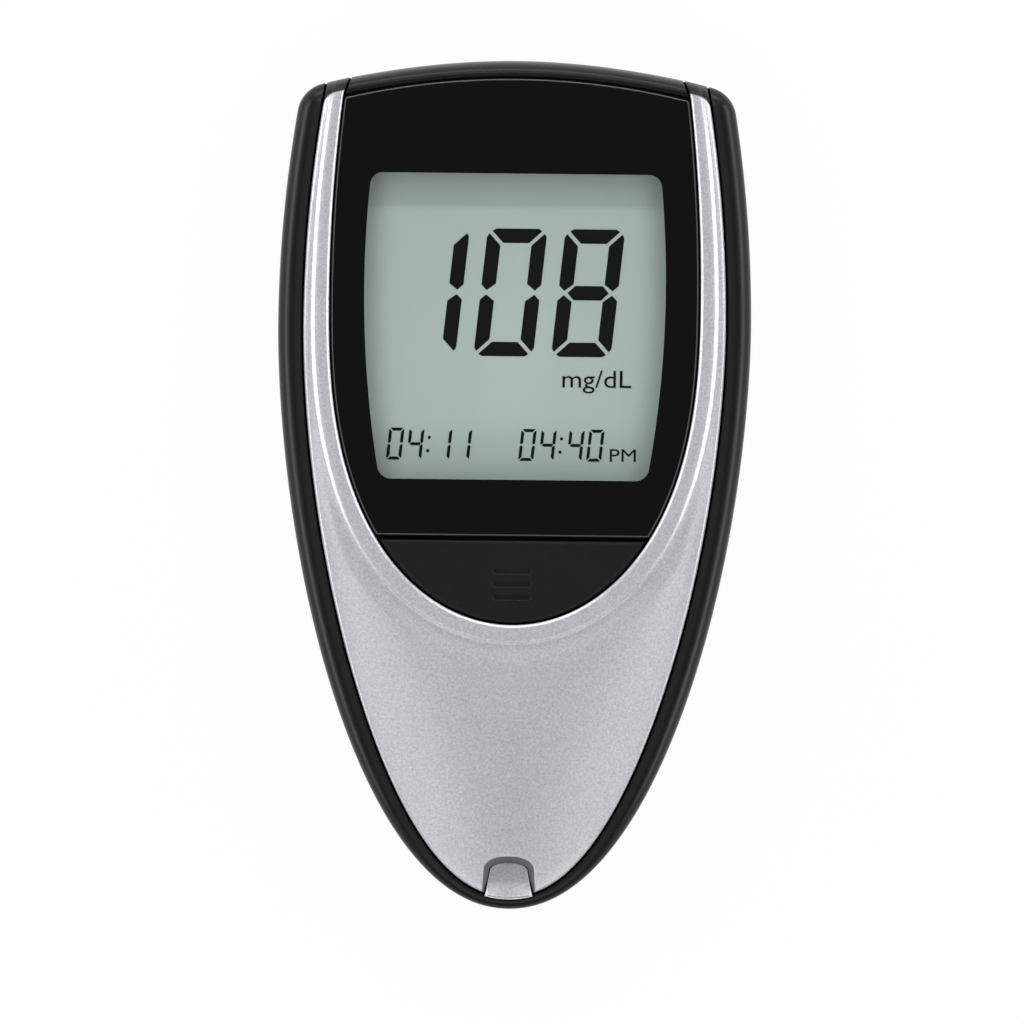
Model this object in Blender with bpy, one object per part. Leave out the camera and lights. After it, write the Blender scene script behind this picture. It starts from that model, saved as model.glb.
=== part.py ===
"""Blood glucose meter with a large segment display, as separate pieces in metres.

The meter lies on its back on the floor: +Z is out of the display, +Y is the display end and -Y is the
end that takes the test strip. The origin is in the middle of the footprint, on the floor.
"""
import math

import bmesh
import bpy
import numpy as np

# Overall body, in metres
LENGTH = 0.0970
WIDTH = 0.0541
TONGUE_LENGTH = 0.0325  # from the tip to the lower end of the collar
WIDEST_SHARE = 0.1856  # how far above the middle the widest point lies, of the length
SIDE_RADIUS = 0.1536  # side arc from the widest point up to the corner
TOP_RADIUS = 0.0890
CORNER_RADIUS = 0.0038
TAPER_SHARES = (1.757, 0.4832)  # powers of the tapering lower curve
FOOT_INSET = 0.0055  # how far the flat back lies inside the outline
TUB_SHARE = 3.2  # power of the tub's rounded side
TUB_LEVEL_SHARES = (0, 0.02, 0.07, 0.16, 0.36, 1)  # heights at which the side is drawn

# Rail round the front, and the seam between rail and bezel
RAIL_WIDTH = 0.00292
RAIL_THINNING = 0.0015  # how much narrower the rail is at the tip
THINNING_SHARE = 4  # power by which the rail narrows
RAIL_ROUND = 0.0026  # height of the rail's rounded shoulder
RAIL_LEVEL_SHARES = (0.05, 0.18, 0.4, 0.68, 1)  # widths at which the shoulder is drawn
SEAM_RADIUS = 0.1600  # side arc of the seam, beside the display
SEAM_GAP = 0.00026
SEAM_STEP = 0.00025  # how far the bezel's edge stands above the rail
EDGE_DROP = 0.0011  # from the collar's top down to the bezel's outer edge
TIP_DROP = 0.0041  # how much lower that edge is at the tip
TIP_DROP_SHARE = 1.8  # power by which it falls

# Bezel: a flat collar round the display, a scoop beside it and a crowned tongue
ARM_WIDTH = 0.0029
COLLAR_RADIUS = 0.1920  # side arc of the collar above its widest point
COLLAR_SHARE = 2.57  # power of the collar's lower curve
COLLAR_WIDEST_SHARE = 0.2216  # how far above the middle the collar is widest, of the length
COLLAR_BAND = 0.0015
COLLAR_ROUND = 0.00030
SHOULDER = 0.0006
SHOULDER_DROP = 0.0009
SCOOP_WIDTH = 0.0026
SCOOP_RISE = 0.0004
BEZEL_WALL = 0.0015
SKIRT_WALL = 0.0010
END_ROUND = 0.0017  # how far in from the top end the surface starts to turn down
END_DROP = 0.0036
END_WALL = 0.0012
LEAN_SHARE = 0.25  # how much the collar's edge leans in over the top end
COLLAR_POINT_SHARES = (0, 0.4, 1)  # points on the collar's soft inner edge
SHOULDER_POINT_SHARES = (0, 0.35, 0.7, 1)
SCOOP_POINT_SHARES = (0.3, 0.65, 1)
CROWN_POINT_SHARES = (0.25, 0.5, 0.75, 1)
TURN_POINT_SHARES = (1.0, 0.985, 0.93, 0.84, 0.72)  # where the arm turns down over the top end
UNDER_SHARE = 0.8  # how far out the underside's crest may lie

# Display end: bridge, lens and window
BRIDGE_WIDTH = 0.00185
BRIDGE_SET_BACK = 0.0006  # bridge top below the collar's top
BRIDGE_TURN_SHARE = 0.95  # how much of the arms' end round the bridge takes
BRIDGE_POINT_SHARES = (1, 0.75, 0.5, 0.28, 0.1, 0)  # where the bridge turns down
LENS_RADIUS = 0.0840
LENS_SET_BACK = 0.0003
LENS_THICK = 0.0015
LENS_BEVEL = 0.0002
TAPE_THICK = 0.0003
TAPE_INSET = 0.0005
PLATE_THICK = 0.00115
FLANGE = 0.0007
WINDOW_BORDER = 0.0040  # printed border beside the window
WINDOW_TOP_BORDER = 0.0108
WINDOW_LOW_BORDER = 0.0064
WINDOW_CORNER = 0.0013
WINDOW_RADIUS = 0.1250  # bow of the window's sides
WINDOW_WIDEST_SHARE = 0.374  # how far down the window is widest, of its height

# Memory button under the display
BUTTON_LENGTH = 0.0093
BUTTON_GAP = 0.00063
BUTTON_SET_BACK = 0.0005
BUTTON_ROUND = 0.0003
BUTTON_WALL = 0.0010
BUTTON_ROOF = 0.0012
BUTTON_FLANGE = 0.0005
BUTTON_FLANGE_THICK = 0.0008
BUTTON_TRAVEL = 0.0004
STEM_RADIUS = 0.0016
TRAY_THICK = 0.0008
TRAY_WALL = 0.0011

# Test strip port
PORT_WIDTH = 0.0062  # between the port's sides at the tip
ARCH_WIDTH = 0.0058
ARCH_RISE = 0.0017
ARCH_SHARE = 2.3  # power of the arch, which is blunter than an ellipse
PORT_DRAFT = 0.0008
PORT_ROUND = 0.00016
RAMP_LIP = 0.0011  # rail left beyond the ramp at the tip
RAMP_LENGTH = 0.0043
RAMP_WIDTH = 0.00546
RAMP_INNER_WIDTH = 0.00438
RAMP_HEAD = 0.0009  # length of the ramp's rounded inner end
RAMP_HEAD_SHARE = 2.8
RAMP_BOW = 0.00037
RAMP_RISE = 0.0009
RAMP_RIM = 0.00012
RAMP_GAP = 0.00016
RAMP_POINT_SHARES = (0, 0.45, 0.7, 0.86, 0.91, 0.96, 0.985, 1)
RIM_SHARES = (0, 0, 0, 0, 1, 1, 0.6, -0.6)  # height of the rim at those points
STRIP_RISE = 0.0008  # from the board up to the strip
STRIP_SLOT = 0.0010
STRIP_WIDTH = 0.0056
CONNECTOR_WIDTH = 0.0098
CONNECTOR_LENGTH = 0.0095
CONNECTOR_HEIGHT = 0.0024
CONNECTOR_WALL = 0.0012
CONNECTOR_ROOM = 0.0004  # from the connector's front corners up to the bezel
CONTACT_PITCH = 0.0015
CONTACT_WIDTH = 0.0006
CONTACT_THICK = 0.00015

# Display module
GLASS_THICK = 0.0008
GLASS_MARGIN = 0.0012
GLASS_LEDGE = 0.0024
FILM_THICK = 0.00015
BRACKET_WALL = 0.0010
BRACKET_FLOOR = 0.0008
RUBBER_WIDTH = 0.0014

# Main board and what is soldered to it
BOARD_ROOM = 0.0026  # room for components between the bay's roof and the board
BOARD_THICK = 0.0010
BOARD_INSET = 0.0044
BOARD_FROM_TIP = 0.0070
CHIP_HEIGHT = 0.0012
PROCESSOR_SIZE = 0.0090
SMALL_CHIP_LENGTH = 0.0050
SMALL_CHIP_WIDTH = 0.0040
CRYSTAL_RADIUS = 0.0010
CRYSTAL_LENGTH = 0.0060
CAPACITOR_LENGTH = 0.0032
CAPACITOR_WIDTH = 0.0018
BUZZER_RADIUS = 0.0045
BUZZER_HEIGHT = 0.0030
BUZZER_HOLE = 0.0007
SWITCH_SIZE = 0.0045
SWITCH_HEIGHT = 0.0013
SWITCH_FLOOR = 0.0003
PLUNGER_RADIUS = 0.0011
PLUNGER_RISE = 0.0004
PLUNGER_DEPTH = 0.0003  # how far a plunger reaches into its switch

# Rear case, battery bay and door
BACK_WALL = 0.0018
CASE_WALL = 0.0024
LEDGE_WIDTH = 0.0039
LEDGE_HEIGHT = 0.0014
DOOR_FROM_TIP = 0.0225
DOOR_THICK = 0.0015
DOOR_CORNER = 0.0022
BAY_SIDE_ROOM = 0.0012  # beside the cell
BAY_END_ROOM = 0.0024  # beyond the cell, for contact and latch
BAY_LEDGE = 0.0013
BAY_WALL = 0.0012
BAY_ROOF = 0.0009
CELL_RADIUS = 0.0100
CELL_THICK = 0.0032
CELL_EDGE = 0.0002
CELL_RING_HEIGHT = 0.0020
TAB_SPACING = 0.0150
TAB_WIDTH = 0.0048
TAB_REACH = 0.0016
TAB_THICK = 0.0008
LATCH_WIDTH = 0.0050
LATCH_RISE = 0.0014
THUMB_RADIUS = 0.0040
THUMB_DEPTH = 0.0010
GRIP_WIDTH = 0.0090
GRIP_GROOVE = 0.0005  # width of a grip groove and half the pitch of the grooves
GRIP_DEPTH = 0.0003
GRIP_COUNT = 3
LEAF_WIDTH = 0.0030
LEAF_THICK = 0.0002
SET_BUTTON_RADIUS = 0.0015
SET_BUTTON_FLANGE = 0.0008
SET_FLANGE_THICK = 0.0003

# Fasteners
SCREW_RADIUS = 0.0008
SCREW_HEAD_RADIUS = 0.0015
SCREW_HEAD_HEIGHT = 0.0012
SCREW_GRIP = 0.0030  # how far a screw reaches into its boss
SCREW_RECESS = 0.0034  # how deep a screw head lies in the back
POST_RADIUS = 0.0028
BOSS_RADIUS = 0.0020
TOP_SCREW_EDGE = 0.0100  # from the widest side to the upper screws
TOP_SCREW_FROM_END = 0.0077
LOW_SCREW_FROM_TIP = 0.0175

# Clearances and fineness
SEAT_GAP = 0.00020  # between pieces stacked on one another
PLAY = 0.00030  # beside pieces that fit in one another
OVERRUN = 0.0030  # how far a cutter runs past what it cuts
SINK = 0.0004  # how far joined shapes run into one another
NOTHING = 1e-7  # a length too short to count
TOP_STEPS, CORNER_STEPS, SIDE_STEPS, TAPER_STEPS = 6, 5, 4, 21
ARM_STEPS, TONGUE_STEPS = 6, 28
TURN_LENGTH = 0.0120  # a turn of one radian counts as much as this length along a curve
ROUND_STEPS = 24
SMALL_ROUND_STEPS = 12
DENSE_STEPS = 500

# Heights that follow from the stack of door, cell, board, display and lens
CELL_BASE = DOOR_THICK + 2 * SEAT_GAP
CELL_TOP = CELL_BASE + CELL_THICK
LEAF_BASE = CELL_TOP + SEAT_GAP
ROOF_BASE = LEAF_BASE + LEAF_THICK + SEAT_GAP
ROOF_TOP = ROOF_BASE + BAY_ROOF
BOARD_BOTTOM = ROOF_TOP + BOARD_ROOM
BOARD_TOP = BOARD_BOTTOM + BOARD_THICK
UNDER_BOARD = BOARD_BOTTOM - SEAT_GAP  # where the case and the pieces under the board end
ON_BOARD = BOARD_TOP + SEAT_GAP
LCD_BASE = ON_BOARD + BRACKET_FLOOR + SEAT_GAP
LCD_STEP = LCD_BASE + GLASS_THICK
LCD_TOP = LCD_STEP + GLASS_THICK
FILM_BASE = LCD_TOP + SEAT_GAP
PLATE_BASE = FILM_BASE + FILM_THICK + SEAT_GAP
PLATE_TOP = PLATE_BASE + PLATE_THICK
TAPE_BASE = PLATE_TOP + SEAT_GAP
LENS_BASE = TAPE_BASE + TAPE_THICK + SEAT_GAP
LENS_TOP = LENS_BASE + LENS_THICK
HEIGHT = LENS_TOP + LENS_SET_BACK
EDGE_HEIGHT = HEIGHT - EDGE_DROP
SILL_HEIGHT = UNDER_BOARD
SKIRT_BASE = SILL_HEIGHT + SEAT_GAP
ARM_BASE = PLATE_TOP + PLAY
BUTTON_TOP = HEIGHT - BUTTON_SET_BACK
BUTTON_FLANGE_BASE = PLATE_TOP - BUTTON_FLANGE_THICK
TRAY_TOP = BUTTON_FLANGE_BASE - BUTTON_TRAVEL - PLAY
TRAY_BASE = TRAY_TOP - TRAY_THICK
SWITCH_TOP = ON_BOARD + SWITCH_HEIGHT
SET_SWITCH_BASE = UNDER_BOARD - SWITCH_HEIGHT
STRIP_FLOOR = BOARD_TOP + STRIP_RISE
RAMP_INNER_TOP = STRIP_FLOOR + SEAT_GAP
RAMP_TOP = RAMP_INNER_TOP + RAMP_RISE

# Places that follow along the length and the width
TOP_Y = LENGTH / 2
TIP_Y = -LENGTH / 2
WIDEST_Y = LENGTH * WIDEST_SHARE
COLLAR_WIDEST_Y = LENGTH * COLLAR_WIDEST_SHARE
COLLAR_BOTTOM_Y = TIP_Y + TONGUE_LENGTH
COLLAR_HALF = WIDTH / 2 - RAIL_WIDTH - ARM_WIDTH
BUTTON_TOP_Y = COLLAR_BOTTOM_Y + SEAM_GAP + BUTTON_LENGTH
BUTTON_Y = (BUTTON_TOP_Y + COLLAR_BOTTOM_Y) / 2
LENS_TOP_Y = TOP_Y - BRIDGE_WIDTH - SEAM_GAP
LENS_BOTTOM_Y = BUTTON_TOP_Y + BUTTON_GAP
WINDOW_HALF = COLLAR_HALF - WINDOW_BORDER
WINDOW_TOP_Y = LENS_TOP_Y - WINDOW_TOP_BORDER
WINDOW_LOW_Y = LENS_BOTTOM_Y + WINDOW_LOW_BORDER
WINDOW_WIDEST_Y = WINDOW_TOP_Y - (WINDOW_TOP_Y - WINDOW_LOW_Y) * WINDOW_WIDEST_SHARE
GLASS_HALF = WINDOW_HALF + GLASS_MARGIN
GLASS_TOP_Y = WINDOW_TOP_Y + GLASS_MARGIN
GLASS_STEP_Y = WINDOW_LOW_Y - GLASS_MARGIN
GLASS_BOTTOM_Y = GLASS_STEP_Y - GLASS_LEDGE
RAMP_TIP_Y = TIP_Y + RAMP_LIP
RAMP_INNER_Y = RAMP_TIP_Y + RAMP_LENGTH
ARCH_Y = RAMP_INNER_Y + PORT_DRAFT
BAY_HALF = CELL_RADIUS + BAY_SIDE_ROOM
DOOR_WIDTH = 2 * (BAY_HALF + BAY_LEDGE)
DOOR_LENGTH = 2 * (CELL_RADIUS + BAY_END_ROOM + BAY_LEDGE)
DOOR_BOTTOM_Y = TIP_Y + DOOR_FROM_TIP
DOOR_Y = DOOR_BOTTOM_Y + DOOR_LENGTH / 2
DOOR_TOP_Y = DOOR_BOTTOM_Y + DOOR_LENGTH
HINGE_Y = DOOR_TOP_Y + PLAY / 2
SET_X = BAY_HALF - SET_BUTTON_RADIUS - PLAY
SET_Y = DOOR_BOTTOM_Y + BAY_LEDGE + SET_BUTTON_RADIUS + PLAY
TOP_SCREW_Y = TOP_Y - TOP_SCREW_FROM_END
LOW_SCREW_Y = TIP_Y + LOW_SCREW_FROM_TIP


def clear_scene():
    """Remove every object that the file starts with."""
    for thing in list(bpy.data.objects):
        bpy.data.objects.remove(thing, do_unlink=True)


def material(name, colour, roughness, metallic=0.0):
    """A plain material with the piece's colour, roughness and metal value."""
    finish = bpy.data.materials.new(name)
    finish.use_nodes = True
    shader = finish.node_tree.nodes["Principled BSDF"]
    shader.inputs["Base Color"].default_value = (*colour, 1.0)
    shader.inputs["Roughness"].default_value = roughness
    shader.inputs["Metallic"].default_value = metallic
    return finish


def new_object(name, mesh_data, finish, place=(0, 0, 0)):
    """Turn mesh data into a smooth-shaded object that stands at a place."""
    bmesh.ops.recalc_face_normals(mesh_data, faces=mesh_data.faces)
    mesh = bpy.data.meshes.new(name)
    mesh_data.to_mesh(mesh)
    mesh_data.free()
    mesh.shade_smooth()
    mesh.set_sharp_from_angle(angle=math.radians(32))
    thing = bpy.data.objects.new(name, mesh)
    thing.location = place
    bpy.context.scene.collection.objects.link(thing)
    if finish is not None:
        mesh.materials.append(finish)
    return thing


def loft(name, loops, finish, place=(0, 0, 0)):
    """A closed solid through loops of equally many points, capped at both ends."""
    data = bmesh.new()
    rings = [[data.verts.new(point) for point in loop] for loop in loops]
    for low, high in zip(rings, rings[1:]):
        for i in range(len(low)):
            j = (i + 1) % len(low)
            data.faces.new((low[i], low[j], high[j], high[i]))
    caps = [data.faces.new(rings[0]), data.faces.new(rings[-1])]
    data.normal_update()
    bmesh.ops.triangulate(data, faces=caps)
    return new_object(name, data, finish, place)


def at_height(outline, z):
    """The outline's points, lifted to one height."""
    return [(x, y, z) for x, y in outline]


def prism(name, outline, low, high, finish=None, place=(0, 0, 0)):
    """An outline drawn up from one height to another."""
    return loft(name, [at_height(outline, low), at_height(outline, high)], finish, place)


def block(name, xs, ys, zs, finish=None, place=(0, 0, 0)):
    """A box between two values along each axis."""
    outline = [(xs[0], ys[0]), (xs[1], ys[0]), (xs[1], ys[1]), (xs[0], ys[1])]
    return prism(name, outline, zs[0], zs[1], finish, place)


def circle(radius, centre=(0, 0), steps=SMALL_ROUND_STEPS):
    """Points round a circle."""
    turns = [2 * math.pi * i / steps for i in range(steps)]
    return [(centre[0] + radius * math.cos(a), centre[1] + radius * math.sin(a)) for a in turns]


def disc(name, radius, low, high, finish=None, place=(0, 0, 0), steps=SMALL_ROUND_STEPS):
    """An upright cylinder."""
    return prism(name, circle(radius, steps=steps), low, high, finish, place)


def turned(name, profile, finish, place=(0, 0, 0), steps=SMALL_ROUND_STEPS):
    """A solid turned about the upright axis through (radius, height) pairs."""
    return loft(name, [at_height(circle(r, steps=steps), z) for r, z in profile], finish, place)


def side_profile(name, points, xs, finish, place=(0, 0, 0)):
    """A (y, z) profile drawn from one x to another."""
    loops = [[(x, y, z) for y, z in points] for x in xs]
    return loft(name, loops, finish, place)


def rounded_rectangle(width, height, radius, centre=(0, 0), steps=5):
    """A rectangle with round corners."""
    points = []
    for turn, (sx, sy) in enumerate(((1, 1), (-1, 1), (-1, -1), (1, -1))):
        cx = centre[0] + sx * (width / 2 - radius)
        cy = centre[1] + sy * (height / 2 - radius)
        for i in range(steps):
            angle = math.pi / 2 * (turn + i / (steps - 1))
            points.append((cx + radius * math.cos(angle), cy + radius * math.sin(angle)))
    return points


def boolean(target, tool, operation):
    """Cut or join with another object, which then only guides."""
    modifier = target.modifiers.new(tool.name, "BOOLEAN")
    modifier.operation = operation
    modifier.solver = "EXACT"
    modifier.object = tool
    tool.hide_render = True
    tool.display_type = "WIRE"


def cut(target, *tools):
    """Cut the tools out of the target."""
    for tool in tools:
        boolean(target, tool, "DIFFERENCE")


def join(target, *tools):
    """Join the tools to the target."""
    for tool in tools:
        boolean(target, tool, "UNION")


def mirrored(right_half):
    """Close an outline from its right half, which runs down from the middle line or the top."""
    left_half = [(-x, y) for x, y in reversed(right_half) if x > NOTHING]
    return [tuple(point) for point in right_half] + left_half


def sagitta(radius, x):
    """How far an arc has fallen away at a distance from its top."""
    return radius - math.sqrt(radius * radius - x * x)


def top_edge(x):
    """The y of the body's top end at some x."""
    return TOP_Y - sagitta(TOP_RADIUS, x)


def lens_edge(x):
    """The y of the lens's top edge at some x."""
    return LENS_TOP_Y - sagitta(LENS_RADIUS, x)


def rail_width(y):
    """The rail's width, which shrinks towards the tip."""
    share = np.clip(-y / (LENGTH / 2), 0, 1)
    return RAIL_WIDTH - RAIL_THINNING * share**THINNING_SHARE


def edge_height(y):
    """Height of the bezel's outer edge, which falls towards the tip."""
    share = np.clip(-y / (LENGTH / 2), 0, 1)
    return EDGE_HEIGHT - TIP_DROP * share**TIP_DROP_SHARE


def offset_curve(points, distance):
    """Move an open right-half curve outwards, by one distance or one for each point."""
    points = np.asarray(points, float)
    along = np.gradient(points, axis=0)
    along[-1] = (-1, 0) if abs(points[-1][0]) < NOTHING else along[-1]
    normal = np.stack([-along[:, 1], along[:, 0]], axis=1)
    normal /= np.linalg.norm(normal, axis=1)[:, None]
    return points + normal * np.reshape(distance, (-1, 1))


def respaced(curve, steps):
    """The same curve with fewer points, which lie closer where it turns more."""
    run = np.diff(curve, axis=0)
    angle = np.unwrap(np.arctan2(run[:, 1], run[:, 0]))
    spent = np.linalg.norm(run, axis=1) + TURN_LENGTH * np.abs(np.gradient(angle))
    total = np.concatenate([[0], np.cumsum(spent)])
    even = np.linspace(0, total[-1], steps)
    return np.stack([np.interp(even, total, curve[:, 0]), np.interp(even, total, curve[:, 1])], axis=1)


def taper(steps):
    """The lower curve of the body from its widest point to the tip, on the right."""
    power, root = TAPER_SHARES
    turn = np.linspace(0, math.pi / 2, DENSE_STEPS)
    x = WIDTH / 2 * np.cos(turn) ** (2 * root)
    x[-1] = 0
    y = WIDEST_Y - (WIDEST_Y - TIP_Y) * np.sin(turn) ** (2 / power)
    return respaced(np.stack([x, y], axis=1), steps)


def body_half(y):
    """Half the body's width at some y below the widest point."""
    curve = taper(DENSE_STEPS)
    return float(np.interp(-y, -curve[:, 1], curve[:, 0]))


def top_screws():
    """Centres of the two screws beside the display's upper end."""
    return [(side * (WIDTH / 2 - TOP_SCREW_EDGE), TOP_SCREW_Y) for side in (-1, 1)]


def low_screws():
    """Centres of the two screws in the tongue, midway between the connector and the board's edge."""
    x = (CONNECTOR_WIDTH / 2 + body_half(LOW_SCREW_Y) - BOARD_INSET) / 2
    return [(side * x, LOW_SCREW_Y) for side in (-1, 1)]


def corner(inset):
    """Centre, radius and end angles of the round between side arc and top arc."""
    radius = max(CORNER_RADIUS - inset, CORNER_RADIUS / 4)
    side_centre = np.array([WIDTH / 2 - SIDE_RADIUS, WIDEST_Y])
    top_centre = np.array([0, TOP_Y - TOP_RADIUS])
    side_reach = SIDE_RADIUS - inset - radius
    top_reach = TOP_RADIUS - inset - radius
    between = top_centre - side_centre
    apart = np.linalg.norm(between)
    along = (side_reach**2 - top_reach**2 + apart**2) / (2 * apart)
    across = math.sqrt(side_reach**2 - along**2)
    unit = between / apart
    centre = side_centre + unit * along + np.array([-unit[1], unit[0]]) * across
    if centre[1] < WIDEST_Y:
        centre = side_centre + unit * along - np.array([-unit[1], unit[0]]) * across
    start = math.atan2(*(centre - top_centre)[::-1])
    end = math.atan2(*(centre - side_centre)[::-1])
    return centre, radius, start, end


def body_outline(inset):
    """The body's closed outline, set in by a distance."""
    centre, radius, start, end = corner(inset)
    points = []
    for i in range(TOP_STEPS):
        angle = math.pi / 2 + (start - math.pi / 2) * i / TOP_STEPS
        reach = TOP_RADIUS - inset
        points.append((reach * math.cos(angle), TOP_Y - TOP_RADIUS + reach * math.sin(angle)))
    points[0] = (0, points[0][1])
    for i in range(CORNER_STEPS):
        angle = start + (end - start) * i / CORNER_STEPS
        points.append((centre[0] + radius * math.cos(angle), centre[1] + radius * math.sin(angle)))
    for i in range(SIDE_STEPS):
        angle = end * (1 - i / SIDE_STEPS)
        reach = SIDE_RADIUS - inset
        x = WIDTH / 2 - SIDE_RADIUS + reach * math.cos(angle)
        points.append((x, WIDEST_Y + reach * math.sin(angle)))
    points += [tuple(p) for p in offset_curve(taper(TAPER_STEPS), -inset)]
    return mirrored(points)


def lean(x, y):
    """How far the collar's edge leans in where the surface turns down over the top end."""
    return LEAN_SHARE * max(0, y - (top_edge(x) - END_ROUND))


def seam_side(y):
    """The x of the bezel's outer edge beside the display."""
    return WIDTH / 2 - RAIL_WIDTH - sagitta(SEAM_RADIUS, y - WIDEST_Y)


def collar_side(y):
    """The x of the collar's inner edge beside the display."""
    x = COLLAR_HALF - sagitta(COLLAR_RADIUS, y - COLLAR_WIDEST_Y)
    return x - lean(x, y)


def seam_curve(outwards, top_y, side_steps, taper_steps):
    """Right half of the bezel's outer edge, moved outwards, from some y down to the tip."""
    curve = taper(taper_steps)
    side = [(seam_side(y) + outwards, y) for y in np.linspace(top_y, WIDEST_Y, side_steps)[:-1]]
    low = offset_curve(curve, outwards - rail_width(curve[:, 1]))
    return side + [tuple(p) for p in low]


def collar_low(steps):
    """Lower curve of the collar's inner edge, on the right."""
    turn = np.linspace(0, math.pi / 2, DENSE_STEPS)
    x = COLLAR_HALF * np.cos(turn)
    x[-1] = 0
    y = COLLAR_WIDEST_Y - (COLLAR_WIDEST_Y - COLLAR_BOTTOM_Y) * np.sin(turn) ** (2 / COLLAR_SHARE)
    return respaced(np.stack([x, y], axis=1), steps)


def collar_curve(outwards, top_y, side_steps=10, low_steps=22):
    """Right half of the collar's inner edge, moved outwards, from some y down to its bottom."""
    heights = np.linspace(top_y, COLLAR_WIDEST_Y, side_steps)[:-1]
    side = [(collar_side(y) + outwards, y) for y in heights]
    return side + [tuple(p) for p in offset_curve(collar_low(low_steps), outwards)]


def clip(points, y, keep_above):
    """Cut a closed outline at one y and keep one side of it."""
    sign = 1 if keep_above else -1
    kept = []
    for (x0, y0), (x1, y1) in zip(points, points[1:] + points[:1]):
        inside, next_inside = sign * (y0 - y) >= 0, sign * (y1 - y) >= 0
        if inside:
            kept.append((x0, y0))
        if inside != next_inside:
            share = (y - y0) / (y1 - y0)
            kept.append((x0 + (x1 - x0) * share, y))
    return kept


def end_fall(x, y, length=END_ROUND):
    """How far the top surface has turned down near the top end."""
    share = min(1, max(0, 1 - (top_edge(x) - y) / length))
    return END_DROP * (1 - math.sqrt(1 - share * share))


def tub_inset(share):
    """Inset of the tub's rounded side at a share of its height."""
    return FOOT_INSET * (1 - (1 - (1 - share) ** TUB_SHARE) ** (1 / TUB_SHARE))


def rear_case(finish):
    """Black tub with the rail round the front, the battery bay and the screw posts."""
    loops = []
    rim = np.array(body_outline(0))
    for share in TUB_LEVEL_SHARES:
        outline = body_outline(tub_inset(share))
        loops.append([(x, y, shoulder_height(v) * share) for (x, y), v in zip(outline, rim[:, 1])])
    inner = np.array(body_outline(RAIL_WIDTH))
    direction = (inner - rim) / np.linalg.norm(inner - rim, axis=1)[:, None]
    widths = np.array([rail_width(y) for y in rim[:, 1]])
    for share in RAIL_LEVEL_SHARES:
        flat = rim + direction * (widths * share)[:, None]
        rise = math.sqrt(1 - (1 - share) ** 2)
        loops.append([(x, y, shoulder_height(v) + rail_rise(v) * rise)
                      for (x, y), v in zip(flat, rim[:, 1])])
    case = loft("rear_case", loops, finish)
    front = mirrored(seam_curve(SEAM_GAP, TOP_Y + OVERRUN, 12, 40))
    cut(case, prism("front_opening", front, SILL_HEIGHT, HEIGHT + OVERRUN))
    cut(case, prism("ramp_notch", ramp_outline(RAMP_GAP), SILL_HEIGHT, HEIGHT + OVERRUN))
    cavity = [
        at_height(body_outline(CASE_WALL + BACK_WALL), BACK_WALL),
        at_height(body_outline(CASE_WALL + BACK_WALL / 3), BACK_WALL * 4 / 3),
        at_height(body_outline(CASE_WALL), BACK_WALL * 2),
        at_height(body_outline(CASE_WALL), SILL_HEIGHT - 2 * LEDGE_HEIGHT),
        at_height(body_outline(LEDGE_WIDTH), SILL_HEIGHT - LEDGE_HEIGHT),
        at_height(body_outline(LEDGE_WIDTH), SILL_HEIGHT + OVERRUN),
    ]
    cut(case, loft("case_cavity", cavity, None))
    add_bay(case)
    for i, (x, y) in enumerate(top_screws() + low_screws()):
        post = disc(f"post_{i}", POST_RADIUS, BACK_WALL - SINK, UNDER_BOARD, place=(x, y, 0))
        hole = [(SCREW_HEAD_RADIUS + PLAY, -OVERRUN), (SCREW_HEAD_RADIUS + PLAY, SCREW_RECESS),
                (SCREW_RADIUS + PLAY, SCREW_RECESS), (SCREW_RADIUS + PLAY, UNDER_BOARD + OVERRUN)]
        join(case, post)
        cut(case, turned(f"screw_hole_{i}", hole, None, (x, y, 0)))
    return case


def shoulder_height(y):
    """Height at which the body is widest, at some y."""
    return edge_height(y) - SEAM_STEP - rail_rise(y)


def rail_rise(y):
    """Height of the rail's rounded shoulder, which shrinks with the rail."""
    return RAIL_ROUND * rail_width(y) / RAIL_WIDTH


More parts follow.
